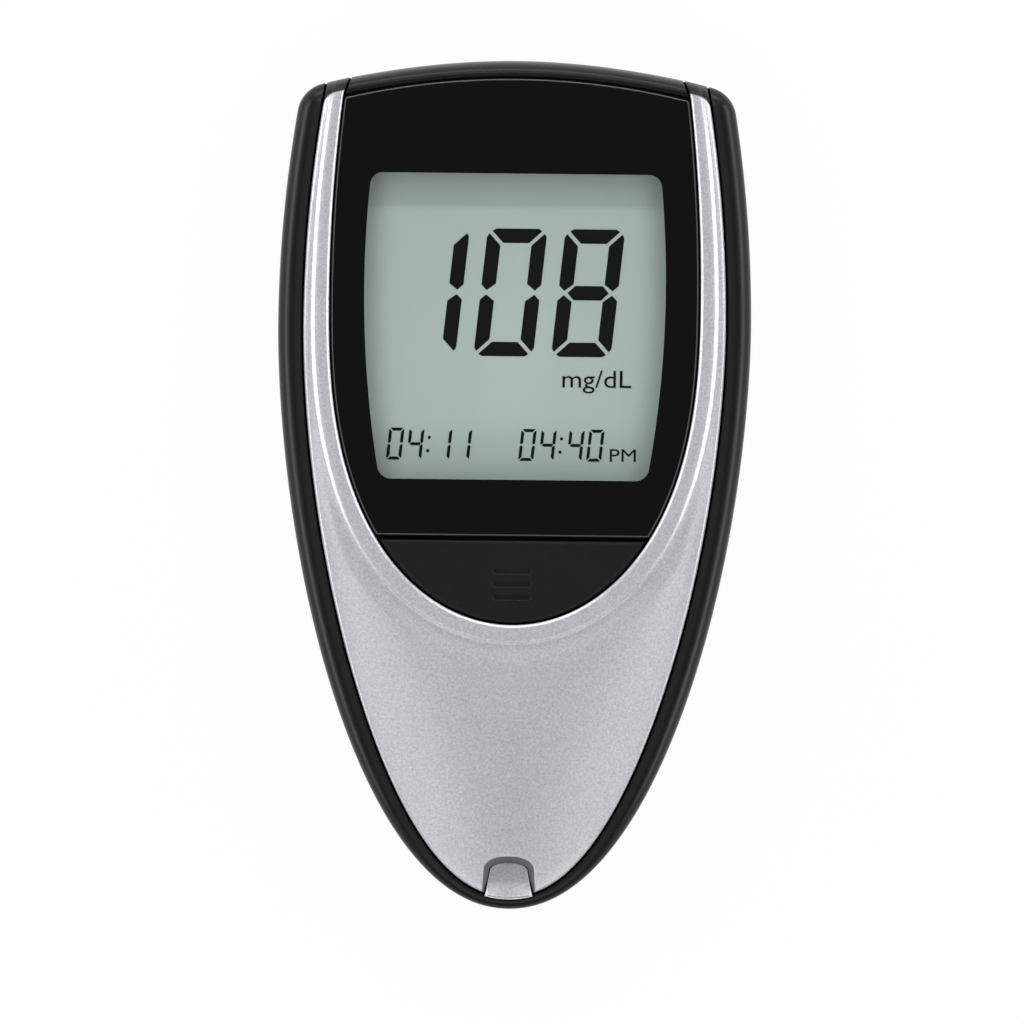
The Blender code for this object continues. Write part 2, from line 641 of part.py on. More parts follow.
def add_bay(case):
    """Battery bay in the back, with the seats of its door, cell, contacts and set button."""
    bay_top = DOOR_TOP_Y - BAY_LEDGE
    bay_bottom = DOOR_BOTTOM_Y + BAY_LEDGE
    half = BAY_HALF + BAY_WALL
    slot_end = DOOR_TOP_Y + TAB_REACH + 2 * PLAY
    join(case, block("bay_walls", (-half, half), (bay_bottom - BAY_WALL, slot_end + BAY_WALL),
                     (BACK_WALL - SINK, ROOF_TOP)))
    opening = rounded_rectangle(DOOR_WIDTH + 2 * PLAY, DOOR_LENGTH + 2 * PLAY, DOOR_CORNER, (0, DOOR_Y))
    cut(case, prism("door_opening", opening, -OVERRUN, DOOR_THICK + SEAT_GAP))
    cut(case, block("bay_hollow", (-BAY_HALF, BAY_HALF), (bay_bottom, bay_top), (0, ROOF_BASE)))
    for i, side in enumerate((-1, 1)):
        middle = side * TAB_SPACING / 2
        reach = TAB_WIDTH / 2 + PLAY
        cut(case, block(f"tab_slot_{i}", (middle - reach, middle + reach), (bay_top - SINK, slot_end),
                        (DOOR_THICK, ROOF_BASE)))
    latch_half = LATCH_WIDTH / 2 + PLAY
    cut(case, block("latch_slot", (-latch_half, latch_half), (DOOR_BOTTOM_Y - PLAY, bay_bottom + SINK),
                    (0, CELL_TOP)))
    cut(case, disc("thumb_recess", THUMB_RADIUS, -OVERRUN, THUMB_DEPTH,
                   place=(0, DOOR_BOTTOM_Y - PLAY, 0), steps=ROUND_STEPS))
    ring_radius = CELL_RADIUS + PLAY
    ring = disc("cell_ring", BAY_HALF + SINK, ROOF_BASE - CELL_RING_HEIGHT, ROOF_BASE + SINK,
                place=(0, DOOR_Y, 0), steps=ROUND_STEPS + 4)
    cut(ring, disc("cell_ring_hollow", ring_radius, 0, ROOF_BASE, place=(0, DOOR_Y, 0),
                   steps=ROUND_STEPS + 4))
    leaf_half = LEAF_WIDTH / 2 + PLAY
    leaf_span = (-leaf_half, leaf_half)
    cut(ring, block("contact_gap", leaf_span, (bay_bottom, DOOR_Y - CELL_RADIUS), (0, ROOF_BASE)))
    join(case, ring)
    through = (ROOF_BASE - SINK, ROOF_TOP + SINK)
    cut(case, block("positive_slot", leaf_span, positive_span(PLAY), through))
    cut(case, block("negative_slot", leaf_span, negative_span(PLAY), through))
    cut(case, disc("set_hole", SET_BUTTON_RADIUS + PLAY, 0, ROOF_TOP + SINK, place=(SET_X, SET_Y, 0)))


def positive_span(room=0):
    """The y range of the positive contact's upright blade."""
    front = DOOR_Y - CELL_RADIUS - PLAY
    return front - LEAF_THICK - room, front + room


def negative_span(room=0):
    """The y range of the negative contact's upright tail."""
    back = DOOR_Y + CELL_RADIUS - LEAF_WIDTH / 3
    return back - LEAF_THICK - room, back + room


def battery_door(finish):
    """Door with two hook tabs and a latch, turning about its hooked edge."""
    place = (0, HINGE_Y, 0)
    plate = rounded_rectangle(DOOR_WIDTH, DOOR_LENGTH, DOOR_CORNER, (0, DOOR_Y - HINGE_Y))
    door = prism("battery_door", plate, 0, DOOR_THICK, finish, place)
    edge = DOOR_TOP_Y - HINGE_Y
    low = DOOR_THICK + SEAT_GAP
    root = edge - 2 * BAY_LEDGE
    profile = [(root, DOOR_THICK - SINK), (edge - SINK, DOOR_THICK - SINK), (edge, low),
               (edge + TAB_REACH, low), (edge + TAB_REACH, low + TAB_THICK), (root, low + TAB_THICK)]
    for i, side in enumerate((-1, 1)):
        middle = side * TAB_SPACING / 2
        xs = (middle - TAB_WIDTH / 2, middle + TAB_WIDTH / 2)
        join(door, side_profile(f"hook_tab_{i}", profile, xs, None, place))
    for i in range(GRIP_COUNT):
        low = DOOR_BOTTOM_Y - HINGE_Y + DOOR_CORNER + i * 2 * GRIP_GROOVE
        cut(door, block(f"grip_groove_{i}", (-GRIP_WIDTH / 2, GRIP_WIDTH / 2), (low, low + GRIP_GROOVE),
                        (-OVERRUN, GRIP_DEPTH), place=place))
    back = DOOR_BOTTOM_Y - HINGE_Y + PLAY
    join(door, block("latch", (-LATCH_WIDTH / 2, LATCH_WIDTH / 2), (back, back + BAY_LEDGE),
                     (DOOR_THICK - SINK, DOOR_THICK + LATCH_RISE), place=place))
    return door


def coin_cell(finish):
    """Coin cell with a rounded can edge and a smaller negative face."""
    inner = CELL_RADIUS - 4 * CELL_EDGE
    profile = [(CELL_RADIUS - CELL_EDGE, CELL_BASE), (CELL_RADIUS, CELL_BASE + CELL_EDGE),
               (CELL_RADIUS, CELL_TOP - 2 * CELL_EDGE), (inner, CELL_TOP - CELL_EDGE),
               (inner - CELL_EDGE, CELL_TOP)]
    return turned("coin_cell", profile, finish, (0, DOOR_Y, 0), ROUND_STEPS + 4)


def battery_contacts(finish):
    """Two bent metal strips from the cell up to the board."""
    half = LEAF_WIDTH / 2
    low, high = negative_span()
    leaf = [(DOOR_Y - LEAF_WIDTH, LEAF_BASE), (high, LEAF_BASE), (high, UNDER_BOARD), (low, UNDER_BOARD),
            (low, LEAF_BASE + LEAF_THICK), (DOOR_Y - LEAF_WIDTH, LEAF_BASE + LEAF_THICK)]
    side_profile("battery_contact_negative", leaf, (-half, half), finish)
    low, high = positive_span()
    foot = CELL_BASE + LEAF_THICK
    blade = [(low, UNDER_BOARD), (low, foot), (low - 2 * LEAF_THICK, CELL_BASE),
             (high - 2 * LEAF_THICK, CELL_BASE), (high, foot), (high, UNDER_BOARD)]
    side_profile("battery_contact_positive", blade, (-half, half), finish)


def smooth(share):
    """A share that leaves nought and reaches one without a kink."""
    return share * share * (3 - 2 * share)


def section_widths(length):
    """Widths across one row of the bezel: soft edge, collar, down to the valley, scoop and what is left."""
    scale = min(1, length / ARM_WIDTH)
    valley = (COLLAR_BAND + SHOULDER) * scale
    rest = length - valley
    return COLLAR_ROUND * scale, COLLAR_BAND * scale, valley, min(SCOOP_WIDTH, rest / 2), rest


def rounded_height(length, distance, span_y):
    """Height of the bezel's top at a distance from the collar's edge, in a row of some length."""
    soft, band, valley, scoop, rest = section_widths(length)
    edge = edge_height(span_y)
    growth = min(1, max(0, (rest - ARM_WIDTH / 2) / (2 * ARM_WIDTH)))
    floor = HEIGHT - SHOULDER_DROP
    crest = floor + SCOOP_RISE * smooth(growth)
    if distance < soft:
        share = 1 - distance / soft
        return HEIGHT - COLLAR_ROUND * (1 - math.sqrt(1 - share * share))
    if distance < band:
        return HEIGHT
    if distance < valley:
        return HEIGHT - SHOULDER_DROP * smooth((distance - band) / (valley - band))
    if distance < valley + scoop:
        share = (distance - valley) / scoop
        rise = (crest - floor) * smooth(share)
        return floor + rise - share * tongue_fall(scoop, rest, crest - edge)
    return crest - tongue_fall(distance - valley, rest, crest - edge)


def tongue_fall(distance, rest, drop):
    """Fall of the crowned tongue from the valley to the outer edge."""
    return drop * (distance / rest) ** 2


def ray_length(point, direction, curve):
    """Distance from a point along a direction to a curve."""
    start, end = curve[:-1], curve[1:]
    side = end - start
    cross = direction[0] * side[:, 1] - direction[1] * side[:, 0]
    cross[np.abs(cross) < NOTHING**2] = NOTHING**2
    offset = start - point
    reach = (offset[:, 0] * side[:, 1] - offset[:, 1] * side[:, 0]) / cross
    share = (offset[:, 0] * direction[1] - offset[:, 1] * direction[0]) / cross
    hits = reach[(share >= 0) & (share <= 1) & (reach > 0)]
    return float(hits.min())


def bezel_edges():
    """The bezel's inner and outer edge as curves with many points."""
    inner = np.array(collar_curve(0, TOP_Y, DENSE_STEPS, DENSE_STEPS))
    return inner, np.array(seam_curve(0, TOP_Y, DENSE_STEPS, DENSE_STEPS))


def nearest(point, curve):
    """The point of a curve that lies nearest to another point."""
    return curve[np.argmin(np.linalg.norm(curve - point, axis=1))]


def bezel_rows():
    """Pairs of inner and outer edge points, from the right arm's end down to the middle."""
    inner, outer = bezel_edges()
    inner_end = end_height(collar_side)
    outer_end = end_height(seam_side)
    zone = inner_end - 3 * END_ROUND
    rows = []
    for y in np.linspace(zone, COLLAR_WIDEST_Y, ARM_STEPS)[:-1]:
        point = np.array([collar_side(y), y])
        along = np.array([collar_side(y + END_WALL) - collar_side(y - END_WALL), 2 * END_WALL])
        direction = np.array([along[1], -along[0]]) / np.linalg.norm(along)
        rows.append((point, point + direction * ray_length(point, direction, outer)))
    for target in respaced(outer[outer[:, 1] < COLLAR_WIDEST_Y], TONGUE_STEPS):
        rows.append((nearest(target, inner), target))
    last_y = rows[0][1][1]
    end_rows = []
    for share in end_shares(inner_end - zone):
        y_in = zone + (inner_end - zone) * share
        y_out = last_y + (outer_end - last_y) * share
        end_rows.append((np.array([collar_side(y_in), y_in]), np.array([seam_side(y_out), y_out])))
    return end_rows[::-1] + rows


def end_height(side):
    """The y at which a seam meets the top end's outline."""
    y = TOP_Y
    for _ in range(20):
        y = top_edge(side(y))
    return y


def end_shares(reach):
    """Shares of the arm's last stretch, closer where the surface turns down."""
    rounding = [1 - (1 - turn) * END_ROUND / reach for turn in TURN_POINT_SHARES]
    wall = 1 - END_WALL / reach
    return sorted(rounding + [wall, wall - SEAM_GAP / reach, 1 - END_ROUND / reach, 1 / 3])


def bezel_section(inner, outer):
    """One closed loop across the bezel, from its inner edge over the top to the outer edge and back."""
    length = float(np.linalg.norm(outer - inner))
    direction = (outer - inner) / length
    soft, band, valley, scoop, rest = section_widths(length)
    edge_soft = min(COLLAR_ROUND, rest / 4)
    tops = [soft * share for share in COLLAR_POINT_SHARES]
    tops += [band + (valley - band) * share for share in SHOULDER_POINT_SHARES]
    tops += [valley + scoop * share for share in SCOOP_POINT_SHARES]
    left = length - edge_soft - valley - scoop
    tops += [valley + scoop + left * share for share in CROWN_POINT_SHARES] + [length]
    loop = []
    closing = top_edge(inner[0]) - inner[1] < END_WALL - SEAM_GAP / 2
    for distance in tops:
        x, y = inner + direction * distance
        z = rounded_height(length, distance, outer[1]) - end_fall(x, y)
        z -= SEAM_STEP if distance == length else 0
        loop.append((x, y, z))
    x, y = outer
    loop.append((x, y, SKIRT_BASE))
    wall = length - SKIRT_WALL
    x, y = inner + direction * wall
    loop.append((x, y, SKIRT_BASE))
    inside = wall - SEAT_GAP / 2
    crest = min(valley + scoop, inside * UNDER_SHARE)
    for distance in (inside, (inside + crest) / 2, crest, min(valley, inside / 2), 0):
        x, y = inner + direction * distance
        under = min(ARM_BASE, rounded_height(length, distance, outer[1]) - BEZEL_WALL)
        loop.append((x, y, SKIRT_BASE if closing else under))
    return loop


def front_bezel(finish):
    """Silver bezel: two arms beside the display that join in the crowned tongue."""
    rows = bezel_rows()
    right = [bezel_section(*row) for row in rows]
    left = [[(-x, y, z) for x, y, z in loop] for loop in reversed(right[:-1])]
    bezel = loft("front_bezel", right + left, finish)
    for i, (x, y) in enumerate(low_screws()):
        under = ARM_BASE - BEZEL_WALL
        join(bezel, disc(f"bezel_boss_{i}", BOSS_RADIUS, ON_BOARD, under + SINK, place=(x, y, 0)))
        cut(bezel, disc(f"bezel_pilot_{i}", SCREW_RADIUS + SEAT_GAP, ON_BOARD - OVERRUN,
                        ON_BOARD + SCREW_GRIP, place=(x, y, 0)))
    cut(bezel, port_arch())
    return bezel


def bezel_height(x, y, edges):
    """Height of the bezel's top at some place of the tongue."""
    inner, outer = edges
    point = np.array([abs(x), y])
    start = nearest(point, inner)
    distance = np.linalg.norm(point - start)
    direction = (point - start) / distance
    reach = ray_length(start, direction, outer)
    return rounded_height(reach, distance, start[1] + direction[1] * reach)


def connector_front():
    """The y nearest the tip at which the connector's front corners stay clear of the bezel."""
    edges = bezel_edges()
    need = ON_BOARD + CONNECTOR_HEIGHT + CONNECTOR_ROOM + BEZEL_WALL
    low, high = ARCH_Y, COLLAR_BOTTOM_Y - SCOOP_WIDTH
    while high - low > NOTHING:
        middle = (low + high) / 2
        if bezel_height(CONNECTOR_WIDTH / 2, middle, edges) > need:
            high = middle
        else:
            low = middle
    return high


def port_arch():
    """Cutter of the strip port: drafted walls under an arch with a soft edge."""
    edges = bezel_edges()
    ramp_half = RAMP_INNER_WIDTH / 2 + RAMP_GAP
    base = port_outline(RAMP_WIDTH / 2 + RAMP_GAP, ramp_half, RAMP_INNER_Y + RAMP_GAP, RAMP_HEAD)
    throat = port_outline(PORT_WIDTH / 2, ARCH_WIDTH / 2, ARCH_Y, ARCH_RISE)
    mouth = port_outline(PORT_WIDTH / 2 + PORT_ROUND, ARCH_WIDTH / 2 + PORT_ROUND, ARCH_Y + PORT_ROUND,
                         ARCH_RISE + PORT_ROUND)
    heights = [bezel_height(x, y, edges) for x, y in mouth]
    levels = [(base, -BEZEL_WALL), (throat, -PORT_ROUND), (mouth, 0)]
    loops = [at_height(base, 0)]
    loops += [[(x, y, z + rise) for (x, y), z in zip(outline, heights)] for outline, rise in levels]
    loops.append([(x * 2 - u, y * 2 - v, z + OVERRUN) for (x, y), (u, v), z in zip(mouth, throat, heights)])
    return loft("port_arch", loops, None)


def blunt_arch(half, rise, power, steps):
    """Points of an arch blunter than an ellipse, from its right end over the top to its left end."""
    points = []
    for i in range(steps + 1):
        angle = math.pi * i / steps
        across = math.copysign(abs(math.cos(angle)) ** (2 / power), math.cos(angle))
        points.append((half * across, rise * math.sin(angle) ** (2 / power)))
    points[0], points[-1] = (half, 0), (-half, 0)
    return points


def port_outline(tip_half, inner_half, top_y, rise):
    """Plan of the strip port: two sides that close in a blunt arch, open past the tip."""
    low = TIP_Y - OVERRUN
    arch = blunt_arch(inner_half, rise, ARCH_SHARE, SMALL_ROUND_STEPS)
    points = [(tip_half, low), (tip_half, RAMP_TIP_Y)]
    points += [(x, top_y - rise + y) for x, y in arch]
    return points + [(-tip_half, RAMP_TIP_Y), (-tip_half, low)]


def ramp_row(share, room=0):
    """Plan of one line across the strip ramp, from the lip to the rounded inner end."""
    half = RAMP_WIDTH / 2 + (RAMP_INNER_WIDTH - RAMP_WIDTH) / 2 * share + room
    shares = [-s for s in reversed(RAMP_POINT_SHARES)] + list(RAMP_POINT_SHARES[1:])
    row = []
    for s in shares:
        blunt = (1 - abs(s) ** RAMP_HEAD_SHARE) ** (1 / RAMP_HEAD_SHARE)
        lip = RAMP_TIP_Y - room + RAMP_BOW * s * s
        head = RAMP_INNER_Y + room - RAMP_HEAD * (1 - blunt)
        row.append((half * s, lip + (head - lip) * share))
    return row


def ramp_outline(room):
    """Plan of the strip ramp, grown by some room."""
    return ramp_row(0, room) + ramp_row(1, room)[::-1]


def strip_guide(connector_y, finish):
    """Silver ramp in the port, with the tray that leads the strip to its connector."""
    rims = list(reversed(RIM_SHARES)) + list(RIM_SHARES[1:])
    loops = []
    steps = 6
    for i in range(steps + 1):
        share = i / steps
        top = RAMP_TOP + (RAMP_INNER_TOP - RAMP_TOP) * math.sin(share * math.pi / 2)
        row = ramp_row(share)
        points = [(x, y, top + RAMP_RIM * rim) for (x, y), rim in zip(row, rims)]
        loops.append(points + [(*row[-1], SKIRT_BASE), (*row[0], SKIRT_BASE)])
    guide = loft("strip_guide", loops, finish)
    half = RAMP_INNER_WIDTH / 2 - PLAY
    join(guide, block("guide_tray", (-half, half), (RAMP_INNER_Y - CONNECTOR_WALL, connector_y - SEAT_GAP),
                      (ON_BOARD, STRIP_FLOOR)))
    return guide


def display_frame(finish):
    """Black frame that carries the lens, with the bridge over the top end and the button's tray."""
    top_half = collar_side(lens_edge(COLLAR_HALF)) - SEAM_GAP
    rise = SEAM_GAP + END_WALL / 2
    arc = [(top_half * i / 8, lens_edge(top_half * i / 8) + rise) for i in range(9)]
    step_y = TOP_Y - 2 * BRIDGE_WIDTH - 2 * END_ROUND
    plate_low = LENS_BOTTOM_Y + TRAY_WALL / 2
    side = [(x, y) for x, y in collar_curve(FLANGE, step_y) if y > plate_low]
    side.append((outer_x(FLANGE, plate_low), plate_low))
    shoulder = [(collar_side(step_y) - SEAM_GAP, step_y)]
    frame = prism("display_frame", mirrored(arc + shoulder + side), PLATE_BASE, PLATE_TOP, finish)
    join(frame, bridge())
    cut(frame, prism("frame_window", window_outline(PLAY), PLATE_BASE - OVERRUN, PLATE_TOP + OVERRUN))
    tray = clip(mirrored(collar_curve(FLANGE, COLLAR_WIDEST_Y + OVERRUN)), LENS_BOTTOM_Y, False)
    join(frame, prism("button_tray", tray, TRAY_BASE, TRAY_TOP))
    half = outer_x(FLANGE, LENS_BOTTOM_Y)
    join(frame, block("tray_wall", (-half, half), (LENS_BOTTOM_Y - SEAT_GAP, LENS_BOTTOM_Y + TRAY_WALL),
                      (TRAY_BASE, PLATE_TOP)))
    cut(frame, disc("stem_hole", STEM_RADIUS + 2 * PLAY, TRAY_BASE - OVERRUN, TRAY_TOP + SINK,
                    place=(0, BUTTON_Y, 0)))
    for i, (x, y) in enumerate(top_screws()):
        join(frame, disc(f"frame_boss_{i}", BOSS_RADIUS, ON_BOARD, PLATE_BASE + SINK, place=(x, y, 0)))
        cut(frame, disc(f"frame_pilot_{i}", SCREW_RADIUS + SEAT_GAP, ON_BOARD - OVERRUN,
                        ON_BOARD + SCREW_GRIP, place=(x, y, 0)))
    return frame


def outer_x(outwards, y):
    """The x of the collar's lower curve, moved outwards, at some y."""
    curve = np.array(collar_curve(outwards, COLLAR_WIDEST_Y + OVERRUN, 4, DENSE_STEPS))
    return float(np.interp(-y, -curve[:, 1], curve[:, 0]))


def window_outline(room):
    """Plan of the display window, a rectangle with slightly bowed sides."""
    half, low, high = WINDOW_HALF + room, WINDOW_LOW_Y - room, WINDOW_TOP_Y + room
    steps = 5
    box = rounded_rectangle(2 * half, high - low, WINDOW_CORNER, (0, (low + high) / 2), steps)
    side = [(half, y) for y in np.linspace(high - WINDOW_CORNER, low + WINDOW_CORNER, steps)[1:-1]]
    right = box[:steps][::-1] + side + box[-steps:][::-1]
    return mirrored([(x - sagitta(WINDOW_RADIUS, y - WINDOW_WIDEST_Y), y) for x, y in right])


def bridge():
    """Black bridge over the top end between the bezel's arms."""
    loops = []
    steps = 16
    reach = END_ROUND * BRIDGE_TURN_SHARE
    for i in range(steps + 1):
        share = 2 * i / steps - 1
        guess = share * (collar_side(TOP_Y - BRIDGE_WIDTH) - SEAM_GAP)
        low, high = lens_edge(guess) + SEAM_GAP, top_edge(guess)
        soft = SEAM_GAP / 2
        top = HEIGHT - BRIDGE_SET_BACK
        points = [(low, PLATE_BASE), (low, top - soft), (low + soft, top)]
        for part in BRIDGE_POINT_SHARES:
            y = high - reach * part
            points.append((y, top - end_fall(guess, y, reach)))
        points += [(high, SKIRT_BASE), (high - END_WALL, SKIRT_BASE), (high - END_WALL, PLATE_BASE)]
        loops.append([(share * (collar_side(y) - SEAM_GAP), y, z) for y, z in points])
    return loft("bridge", loops, None)


def lens_outline(inset, steps=9):
    """Plan of the lens, set in from its own edge."""
    low = LENS_BOTTOM_Y + inset
    corner_x = collar_side(lens_edge(COLLAR_HALF)) - SEAM_GAP - inset
    corner_y = lens_edge(corner_x) - inset
    side = [(x, y) for x, y in collar_curve(-SEAM_GAP - inset, corner_y, steps, 2 * steps) if y > low + SINK]
    side.append((outer_x(-SEAM_GAP - inset, low), low))
    arc = [(corner_x * i / steps, lens_edge(corner_x * i / steps) - inset) for i in range(steps)]
    return mirrored(arc + side)


def display_lens(finish):
    """Clear lens over the display, which rests on an adhesive ring."""
    loops = [at_height(lens_outline(0), LENS_BASE), at_height(lens_outline(0), LENS_TOP - LENS_BEVEL),
             at_height(lens_outline(LENS_BEVEL), LENS_TOP)]
    return loft("display_lens", loops, finish)


def lens_tape(finish):
    """Adhesive ring between lens and frame."""
    tape = prism("lens_tape", lens_outline(TAPE_INSET, 6), TAPE_BASE, TAPE_BASE + TAPE_THICK, finish)
    cut(tape, prism("tape_window", window_outline(PLAY), PLATE_TOP, LENS_BASE))
    return tape


def button_outline(inset, flange):
    """Plan of the memory button: straight along the lens, round along the collar."""
    top = BUTTON_TOP_Y - inset
    curve = collar_curve(flange - SEAM_GAP - inset, COLLAR_WIDEST_Y + OVERRUN, 4, 30)
    low = [(x, y) for x, y in curve if y < top - SEAM_GAP]
    start = (outer_x(flange - SEAM_GAP - inset, top), top)
    spread = np.array([start] + low)
    lengths = np.concatenate([[0], np.cumsum(np.linalg.norm(np.diff(spread, axis=0), axis=1))])
    even = np.linspace(0, lengths[-1], 15)
    half = list(zip(np.interp(even, lengths, spread[:, 0]), np.interp(even, lengths, spread[:, 1])))
    return mirrored([(0, top)] + half)


def memory_button(finish):
    """Memory button: a hollow cap with a retaining flange and a stem down to its switch."""
    place = (0, BUTTON_Y, BUTTON_FLANGE_BASE)
    roof = BUTTON_TOP - BUTTON_ROOF
    levels = [(BUTTON_WALL, 0, roof), (BUTTON_WALL, 0, BUTTON_FLANGE_BASE),
              (0, BUTTON_FLANGE, BUTTON_FLANGE_BASE), (0, BUTTON_FLANGE, PLATE_TOP),
              (0, 0, PLATE_TOP + SEAT_GAP), (0, 0, BUTTON_TOP - BUTTON_ROUND),
              (BUTTON_ROUND / 3, 0, BUTTON_TOP - BUTTON_ROUND / 3), (BUTTON_ROUND, 0, BUTTON_TOP)]
    loops = [[(x, y - BUTTON_Y, z - BUTTON_FLANGE_BASE) for x, y in button_outline(inset, flange)]
             for inset, flange, z in levels]
    cap = loft("memory_button", loops, finish, place)
    stem_low = SWITCH_TOP + PLUNGER_RISE + SEAT_GAP - BUTTON_FLANGE_BASE
    join(cap, disc("button_stem", STEM_RADIUS, stem_low, roof + SINK - BUTTON_FLANGE_BASE, place=place))
    return cap


def switch(name, x, y, low, high, plunger_up, body_finish, plunger_finish):
    """Tactile switch: a square body with a bore, and the plunger that moves in it."""
    half = SWITCH_SIZE / 2
    body = block(f"{name}_switch", (-half, half), (-half, half), (0, high - low), body_finish, (x, y, low))
    bore = (-OVERRUN, high - low - SWITCH_FLOOR)
    plunger = (low - PLUNGER_RISE, low + PLUNGER_DEPTH)
    if plunger_up:
        bore = (SWITCH_FLOOR, high - low + OVERRUN)
        plunger = (high - PLUNGER_DEPTH, high + PLUNGER_RISE)
    cut(body, disc(f"{name}_bore", PLUNGER_RADIUS + PLAY, *bore, place=(x, y, low)))
    disc(f"{name}_plunger", PLUNGER_RADIUS, *plunger, plunger_finish, (x, y, 0))


def set_button(finish):
    """Small button in the bay's roof that sets the clock."""
    low = ROOF_TOP + SEAT_GAP
    high = low + SET_FLANGE_THICK
    wide = SET_BUTTON_RADIUS + SET_BUTTON_FLANGE
    top = SET_SWITCH_BASE - PLUNGER_RISE - SEAT_GAP
    profile = [(SET_BUTTON_RADIUS, ROOF_BASE - BAY_ROOF / 2), (SET_BUTTON_RADIUS, low), (wide, low),
               (wide, high), (PLUNGER_RADIUS, high), (PLUNGER_RADIUS, top)]
    loops = [(r, z - ROOF_BASE) for r, z in profile]
    turned("set_button", loops, finish, (SET_X, SET_Y, ROOF_BASE))


def display_module(glass_finish, film_finish, bracket_finish, rubber_finish):
    """Two-pane glass, its film, its bracket and the rubber strip that connects it."""
    profile = [(GLASS_BOTTOM_Y, LCD_STEP), (GLASS_STEP_Y, LCD_STEP), (GLASS_STEP_Y, LCD_BASE),
               (GLASS_TOP_Y, LCD_BASE), (GLASS_TOP_Y, LCD_TOP), (GLASS_BOTTOM_Y, LCD_TOP)]
    side_profile("lcd_glass", profile, (-GLASS_HALF, GLASS_HALF), glass_finish)
    inset = GLASS_MARGIN / 2
    film = (FILM_BASE, FILM_BASE + FILM_THICK)
    film_span = (GLASS_STEP_Y + inset, GLASS_TOP_Y - inset)
    block("lcd_film", (inset - GLASS_HALF, GLASS_HALF - inset), film_span, film, film_finish)
    reach = GLASS_HALF + PLAY + BRACKET_WALL
    low, high = GLASS_BOTTOM_Y - PLAY - BRACKET_WALL, GLASS_TOP_Y + PLAY + BRACKET_WALL
    heights = (ON_BOARD, LCD_TOP - SEAT_GAP)
    bracket = block("lcd_bracket", (-reach, reach), (low, high), heights, bracket_finish)
    cut(bracket, block("bracket_pocket", (BRACKET_WALL - reach, reach - BRACKET_WALL),
                       (low + BRACKET_WALL, high - BRACKET_WALL), (LCD_BASE - SEAT_GAP, LCD_TOP + OVERRUN)))
    strip_y = (GLASS_STEP_Y + GLASS_BOTTOM_Y) / 2
    room = RUBBER_WIDTH / 2 + PLAY
    strip_half = GLASS_HALF - GLASS_MARGIN
    slot_half = strip_half + PLAY
    cut(bracket, block("rubber_slot", (-slot_half, slot_half), (strip_y - room, strip_y + room),
                       (ON_BOARD - OVERRUN, LCD_BASE + SINK)))
    strip_span = (strip_y - RUBBER_WIDTH / 2, strip_y + RUBBER_WIDTH / 2)
    heights = (ON_BOARD, LCD_STEP - SEAT_GAP)
    block("contact_rubber", (-strip_half, strip_half), strip_span, heights, rubber_finish)


def main_board(finish):
    """Circuit board that follows the case, cut straight behind the strip port."""
    outline = clip(body_outline(BOARD_INSET), TIP_Y + BOARD_FROM_TIP, True)
    board = prism("main_board", outline, BOARD_BOTTOM, BOARD_TOP, finish)
    for i, (x, y) in enumerate(top_screws() + low_screws()):
        cut(board, disc(f"board_hole_{i}", SCREW_RADIUS + PLAY, BOARD_BOTTOM - OVERRUN, BOARD_TOP + OVERRUN,
                        place=(x, y, 0)))
    return board


def components(connector_y, chip, can, ceramic, buzzer_finish):
    """Chips, crystal, capacitors and buzzer under the board, in its free upper half."""
    free_y = DOOR_TOP_Y + TAB_REACH + 2 * PLAY + 2 * BAY_WALL
    chips = {
        "processor_chip": (-PROCESSOR_SIZE, free_y + 2 * SMALL_CHIP_LENGTH + PROCESSOR_SIZE / 2,
                           PROCESSOR_SIZE, PROCESSOR_SIZE),
        "memory_chip": (-PROCESSOR_SIZE, free_y + SMALL_CHIP_LENGTH, SMALL_CHIP_LENGTH, SMALL_CHIP_WIDTH),
        "amplifier_chip": (0, (LOW_SCREW_Y + connector_y) / 2 + SMALL_CHIP_WIDTH,
                           SMALL_CHIP_LENGTH, SMALL_CHIP_WIDTH),
    }
    for name, (x, y, width, depth) in chips.items():
        outline = rounded_rectangle(width, depth, LEAF_THICK, steps=2)
        prism(name, outline, UNDER_BOARD - CHIP_HEIGHT, UNDER_BOARD, chip, (x, y, 0))
    y = free_y + 2 * PROCESSOR_SIZE
    for i in range(2):
        spot = PROCESSOR_SIZE / 4 + i * 2 * CAPACITOR_WIDTH
        block(f"capacitor_{i + 1}", (spot, spot + CAPACITOR_WIDTH), (y, y + CAPACITOR_LENGTH),
              (UNDER_BOARD - CAPACITOR_WIDTH, UNDER_BOARD), ceramic)
    ends = [free_y + PROCESSOR_SIZE, free_y + PROCESSOR_SIZE + CRYSTAL_LENGTH]
    axis = (0, UNDER_BOARD - CRYSTAL_RADIUS)
    loops = [[(x, end, z) for x, z in circle(CRYSTAL_RADIUS, axis, 12)] for end in ends]
    loft("crystal", loops, can)
    middle = (PROCESSOR_SIZE, free_y + BUZZER_RADIUS, UNDER_BOARD - BUZZER_HEIGHT)
    buzzer = disc("buzzer", BUZZER_RADIUS, 0, BUZZER_HEIGHT, buzzer_finish, middle, ROUND_STEPS)
    cut(buzzer, disc("buzzer_hole", BUZZER_HOLE, -OVERRUN, BUZZER_HEIGHT / 2, place=middle))


